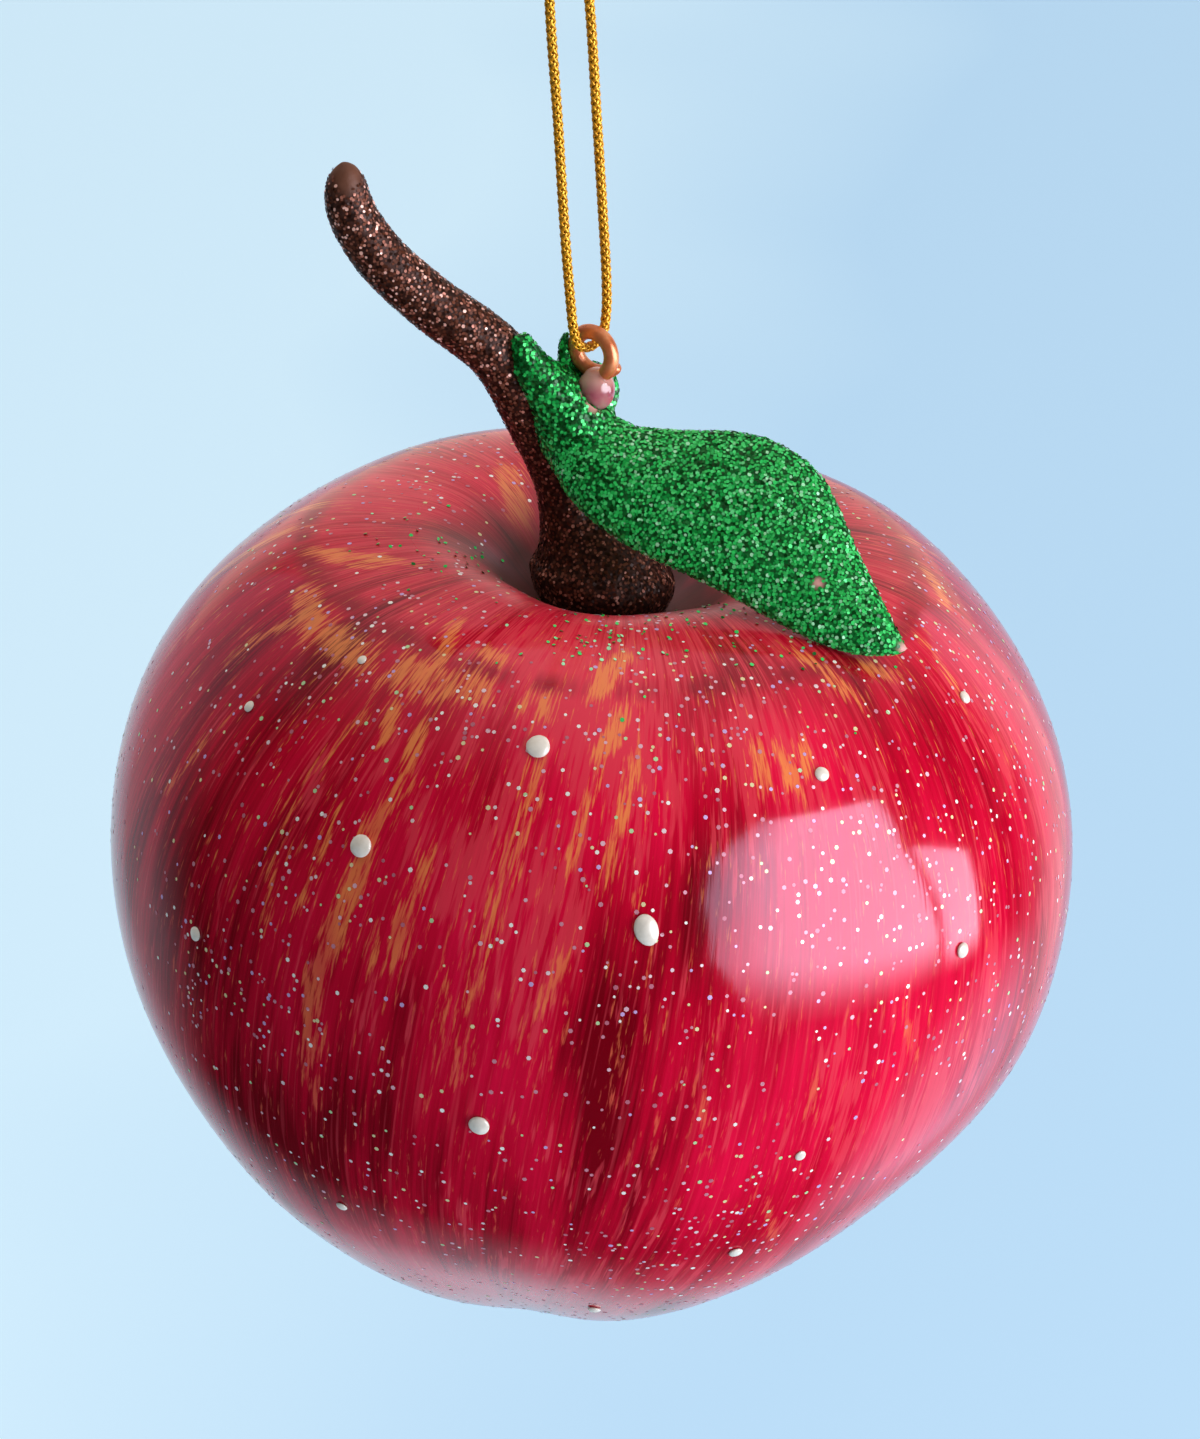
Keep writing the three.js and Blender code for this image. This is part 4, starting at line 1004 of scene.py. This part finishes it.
def makeDot(node, s, surface, finish):
    rough = mergedCopy(node, node + "_rough")
    centre = Vector(meshPoints(rough.data).mean(0))
    _, normal, _, _ = surface.find_nearest(centre)
    for vertex in rough.data.vertices:
        away = vertex.co - centre
        push = noise.noise((away * s["lumps"] + centre * s["apart"]) / mm) * s["uneven"]
        vertex.co += away.normalized() * push - normal * s["sink"]
    finer = rough.modifiers.new("finer", "SUBSURF")
    finer.levels = finer.render_levels = s["levels"]
    dot = applied(rough, "white_" + node)
    dot.data.materials.append(finish)
    dot.data.shade_smooth()
    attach(dot, "ornament")
    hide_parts(node)


enamel = whiteEnamel()
surface = BVHTree.FromObject(apple, bpy.context.evaluated_depsgraph_get())
for node in sorted(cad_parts):
    if node.startswith("enamel_dot"):
        makeDot(node, dotLook, surface, enamel)
print("ring, bead and dots: made")


# Floor, world and lamps
studio = {
    "floor": "#a8cdec",
    "floorLight": "#bedef4",
    "floorDark": "#20262c",  # what the gloss meets below and in front, so that the red stays deep
    "floorGlow": 0.36,
    "floorDrop": 0.6,
    "floorReach": 8,
    "floorPatches": 2.2,  # to the metre
    "floorAcross": -1.6,  # how much further through its two blues the board is, a metre to the right
    "sky": "#d4e6f4",
    "fill": "#fff3e8",  # light from above and around, a little warm
    "behind": (0.06, 0.883, -0.466),  # from the apple away from the camera
    "behindFrom": (0.28, 0.95),  # cosines between which the room turns from dark to pale
    "floorFrom": (0.46, 0.95),  # and the floor
    "top": (0.05, 0.42, 0.9),
    "topFrom": (0.45, 0.97),
    "topStrength": 1.5,
    "topGloss": 0.6,
    "lowPatch": (0.68, 0.24, -0.69),  # where the window lights the board
    "lowFrom": (0.912, 0.992),
    "lowStrength": 1.5,
    "frontFill": 0.14,
    "frontGloss": 0.04,
    "behindGloss": 0.62,
    "worldStrength": 0.95,
    "window": {"place": (0.93, -0.5, -0.06), "size": (1.2, 0.95), "power": 15, "colour": "#fff6f4"},
    # what the gloss sees of the window and of the pale walls at the left and the right, as panes of light:
    # rows from foot to head, each as directions from the apple to both sides, and how much of the front
    # side fades and to what share
    "panes": [
        {"strength": 8.8, "front": (0.36, 0.5), "rows": [
            ((0.57, -0.78, -0.26), (0.936, -0.088, -0.342)), ((0.47, -0.876, 0.1), (0.978, -0.131, -0.162)),
            ((0.462, -0.8, 0.382), (0.946, -0.208, 0.249)), ((0.5, -0.674, 0.543), (0.91, -0.192, 0.37)),
            ((0.61, -0.47, 0.636), (0.859, -0.176, 0.482))]},
        {"strength": 7.8, "front": (0.02, 0.5), "rows": [
            ((0.938, -0.06, -0.349), (0.924, 0.118, -0.363)), ((0.985, -0.1, -0.14), (0.984, 0.1, -0.15)),
            ((0.958, -0.175, 0.23), (0.994, 0.088, 0.02))]},
        {"strength": 0.48, "front": (0.6, 0), "rows": [
            ((-0.8, 0.12, -0.62), (-0.5, 0.6, -0.62)), ((-0.94, 0.14, -0.3), (-0.6, 0.74, -0.3)),
            ((-0.98, 0.16, 0.1), (-0.58, 0.8, 0.1)), ((-0.8, 0.14, 0.6), (-0.4, 0.64, 0.6))]},
        {"strength": 0.95, "front": (0.5, 0), "rows": [
            ((0.6, 0.46, -0.64), (0.4, 0.66, -0.64)), ((0.78, 0.5, -0.34), (0.45, 0.82, -0.34)),
            ((0.84, 0.54, 0), (0.5, 0.86, 0)), ((0.78, 0.48, 0.34), (0.48, 0.8, 0.34))]},
    ],
    "paneFoot": (0.26, 0.04),  # the same at the foot of each
    "paneDistance": 0.85,
    "paneColour": "#eef3ff",
    "paneSteps": 13,
}


# How far a direction lies towards an axis, from 0 to 1, between two cosines.
def towards(tree, direction, axis, reach):
    share = addNode(tree, "ShaderNodeVectorMath", {0: direction, 1: axis}, operation="DOT_PRODUCT")
    return addNode(tree, "ShaderNodeMapRange", {"Value": share, 1: reach[0], 2: reach[1], 3: 0, 4: 1},
                   interpolation_type="SMOOTHSTEP")


def paleFloor(s):
    # Painted board: pale blue with a soft mottle. The gloss meets it pale behind the apple and dim in front.
    material, tree, shader = newMaterial("pale_painted_board")
    coords = addNode(tree, "ShaderNodeTexCoord").outputs["Object"]
    cloud = addNode(tree, "ShaderNodeTexNoise", {"Vector": coords, "Scale": s["floorPatches"], "Detail": 2})
    x = addNode(tree, "ShaderNodeSeparateXYZ", {0: coords}).outputs["X"]
    ramp = addNode(tree, "ShaderNodeValToRGB", {"Fac": summed(tree, (cloud, 1), (x, s["floorAcross"]))})
    pale = setStops(ramp, [(0.3, s["floor"]), (0.7, s["floorLight"])])
    middle = tuple(v * mm for v in cameraPlace["apple"])
    away = addNode(tree, "ShaderNodeVectorMath", {0: coords, 1: middle}, operation="SUBTRACT")
    toward = addNode(tree, "ShaderNodeVectorMath", {0: away}, operation="NORMALIZE")
    behind = towards(tree, toward, s["behind"], s["floorFrom"])
    seen = addNode(tree, "ShaderNodeLightPath").outputs
    camera, glossy = seen["Is Camera Ray"], seen["Is Glossy Ray"]
    front = addNode(tree, "ShaderNodeMath", {0: 1.0, 1: behind}, operation="SUBTRACT")
    dim = addNode(tree, "ShaderNodeMath", {0: glossy, 1: front}, operation="MULTIPLY")
    met = addNode(tree, "ShaderNodeMath", {0: glossy, 1: seen["Is Transmission Ray"]}, operation="MAXIMUM")
    softened = addNode(tree, "ShaderNodeMath", {0: behind, 1: s["behindGloss"]}, operation="MULTIPLY")
    metBehind = addNode(tree, "ShaderNodeMath", {0: met, 1: softened}, operation="MULTIPLY")
    glows = addNode(tree, "ShaderNodeMath", {0: camera, 1: metBehind}, operation="MAXIMUM")
    lowPatch = towards(tree, toward, s["lowPatch"], s["lowFrom"])
    hidden = addNode(tree, "ShaderNodeMix", {0: camera, 2: s["lowStrength"], 3: 0.0})
    patch = addNode(tree, "ShaderNodeMath", {0: lowPatch, 1: hidden}, operation="MULTIPLY")
    board = addNode(tree, "ShaderNodeMix", {0: dim, 6: pale, 7: linear(s["floorDark"])}, data_type="RGBA")
    glow = summed(tree, (patch, 1), (glows, s["floorGlow"]))
    setInputs(shader, {"Base Color": board, "Emission Color": pale, "Emission Strength": glow,
                       "Roughness": 0.9, "Specular IOR Level": 0.0})
    material.cycles.emission_sampling = "NONE"
    return material


def paneLight(strength, front, foot, colour):
    # Bright glass or a pale wall as the gloss sees it: it fades towards its foot and its front side
    material, tree, shader = newMaterial("window_pane")
    place = addNode(tree, "ShaderNodeAttribute", attribute_name="pane").outputs["Vector"]
    sides = addNode(tree, "ShaderNodeSeparateXYZ", {0: place}).outputs
    fade = [addNode(tree, "ShaderNodeMapRange", {"Value": side, 1: 0, 2: reach, 3: least, 4: 1},
                    interpolation_type="SMOOTHSTEP") for side, (reach, least) in zip(sides, (front, foot))]
    both = addNode(tree, "ShaderNodeMath", {0: fade[0], 1: fade[1]}, operation="MULTIPLY")
    setInputs(shader, {"Base Color": (0, 0, 0, 1), "Specular IOR Level": 0.0,
                       "Emission Color": linear(colour), "Emission Strength": strength, "Alpha": both})
    return material


def makePane(name, rows, s, material):
    across = np.linspace(0, 1, s["paneSteps"])[None, :, None]
    left, right = [np.array([row[k] for row in rows])[:, None, :] for k in (0, 1)]
    middle = np.array(cameraPlace["apple"]) * mm
    places = unit(left * (1 - across) + right * across) * s["paneDistance"] + middle
    count, wide = places.shape[:2]
    faces = [(k, k + 1, k + wide + 1, k + wide) for k in range(wide * (count - 1)) if k % wide < wide - 1]
    pane = newPiece(name, places.reshape(-1, 3), faces, material)
    up = np.linspace(0, 1, count)[:, None, None]
    share = np.concatenate([across + 0 * up, up + 0 * across, 0 * (up + across)], -1)
    storeNumbers(pane.data, "pane", share, "FLOAT_VECTOR")
    pane.visible_camera = pane.visible_diffuse = pane.visible_shadow = False


# The same window as light on the object: one soft lamp, which the gloss doesn't see.
def makeLamp(s, middle):
    data = bpy.data.lights.new("window_light", "AREA")
    data.shape = "RECTANGLE"
    data.size, data.size_y = s["size"]
    data.energy = s["power"]
    data.color = linear(s["colour"])[:3]
    lamp = newObject("window_light", data)
    lamp.location = middle + Vector(s["place"])
    lamp.rotation_euler = Vector(s["place"]).to_track_quat("Z", "Y").to_euler()
    lamp.visible_glossy = False


def makeWorld(s):
    scene.world = bpy.data.worlds.new("pale_room")
    scene.world.use_nodes = True
    tree = scene.world.node_tree
    tree.nodes.clear()
    direction = addNode(tree, "ShaderNodeTexCoord").outputs["Generated"]
    behind = towards(tree, direction, s["behind"], s["behindFrom"])
    above = towards(tree, direction, s["top"], s["topFrom"])
    seen = addNode(tree, "ShaderNodeLightPath").outputs
    camera, glossy = seen["Is Camera Ray"], seen["Is Glossy Ray"]
    front = addNode(tree, "ShaderNodeMix", {0: glossy, 2: s["frontFill"], 3: s["frontGloss"]})
    topLight = addNode(tree, "ShaderNodeMix", {0: glossy, 2: s["topStrength"], 3: s["topGloss"]})
    room = addNode(tree, "ShaderNodeMath", {0: summed(tree, (front, 1), (above, topLight)), 1: behind},
                   operation="MAXIMUM")
    shown = addNode(tree, "ShaderNodeMix", {0: camera, 2: room, 3: s["worldStrength"]})
    colour = addNode(tree, "ShaderNodeMix", {0: camera, 6: linear(s["fill"]), 7: linear(s["sky"])},
                     data_type="RGBA")
    glow = addNode(tree, "ShaderNodeBackground", {"Color": colour, "Strength": shown})
    addNode(tree, "ShaderNodeOutputWorld", {"Surface": glow})


def makeStudio(s):
    far, drop = s["floorReach"], -s["floorDrop"]
    corners = [(-far, -far, drop), (far, -far, drop), (far, far, drop), (-far, far, drop)]
    newPiece("floor", corners, [(0, 1, 2, 3)], paleFloor(s), smooth=False)
    makeWorld(s)
    makeLamp(s["window"], Vector(cameraPlace["apple"]) * mm)
    for k, pane in enumerate(s["panes"]):
        light = paneLight(pane["strength"], pane["front"], s["paneFoot"], s["paneColour"])
        makePane("window_pane_%d" % (k + 1), pane["rows"], s, light)


makeStudio(studio)
print("studio: made")
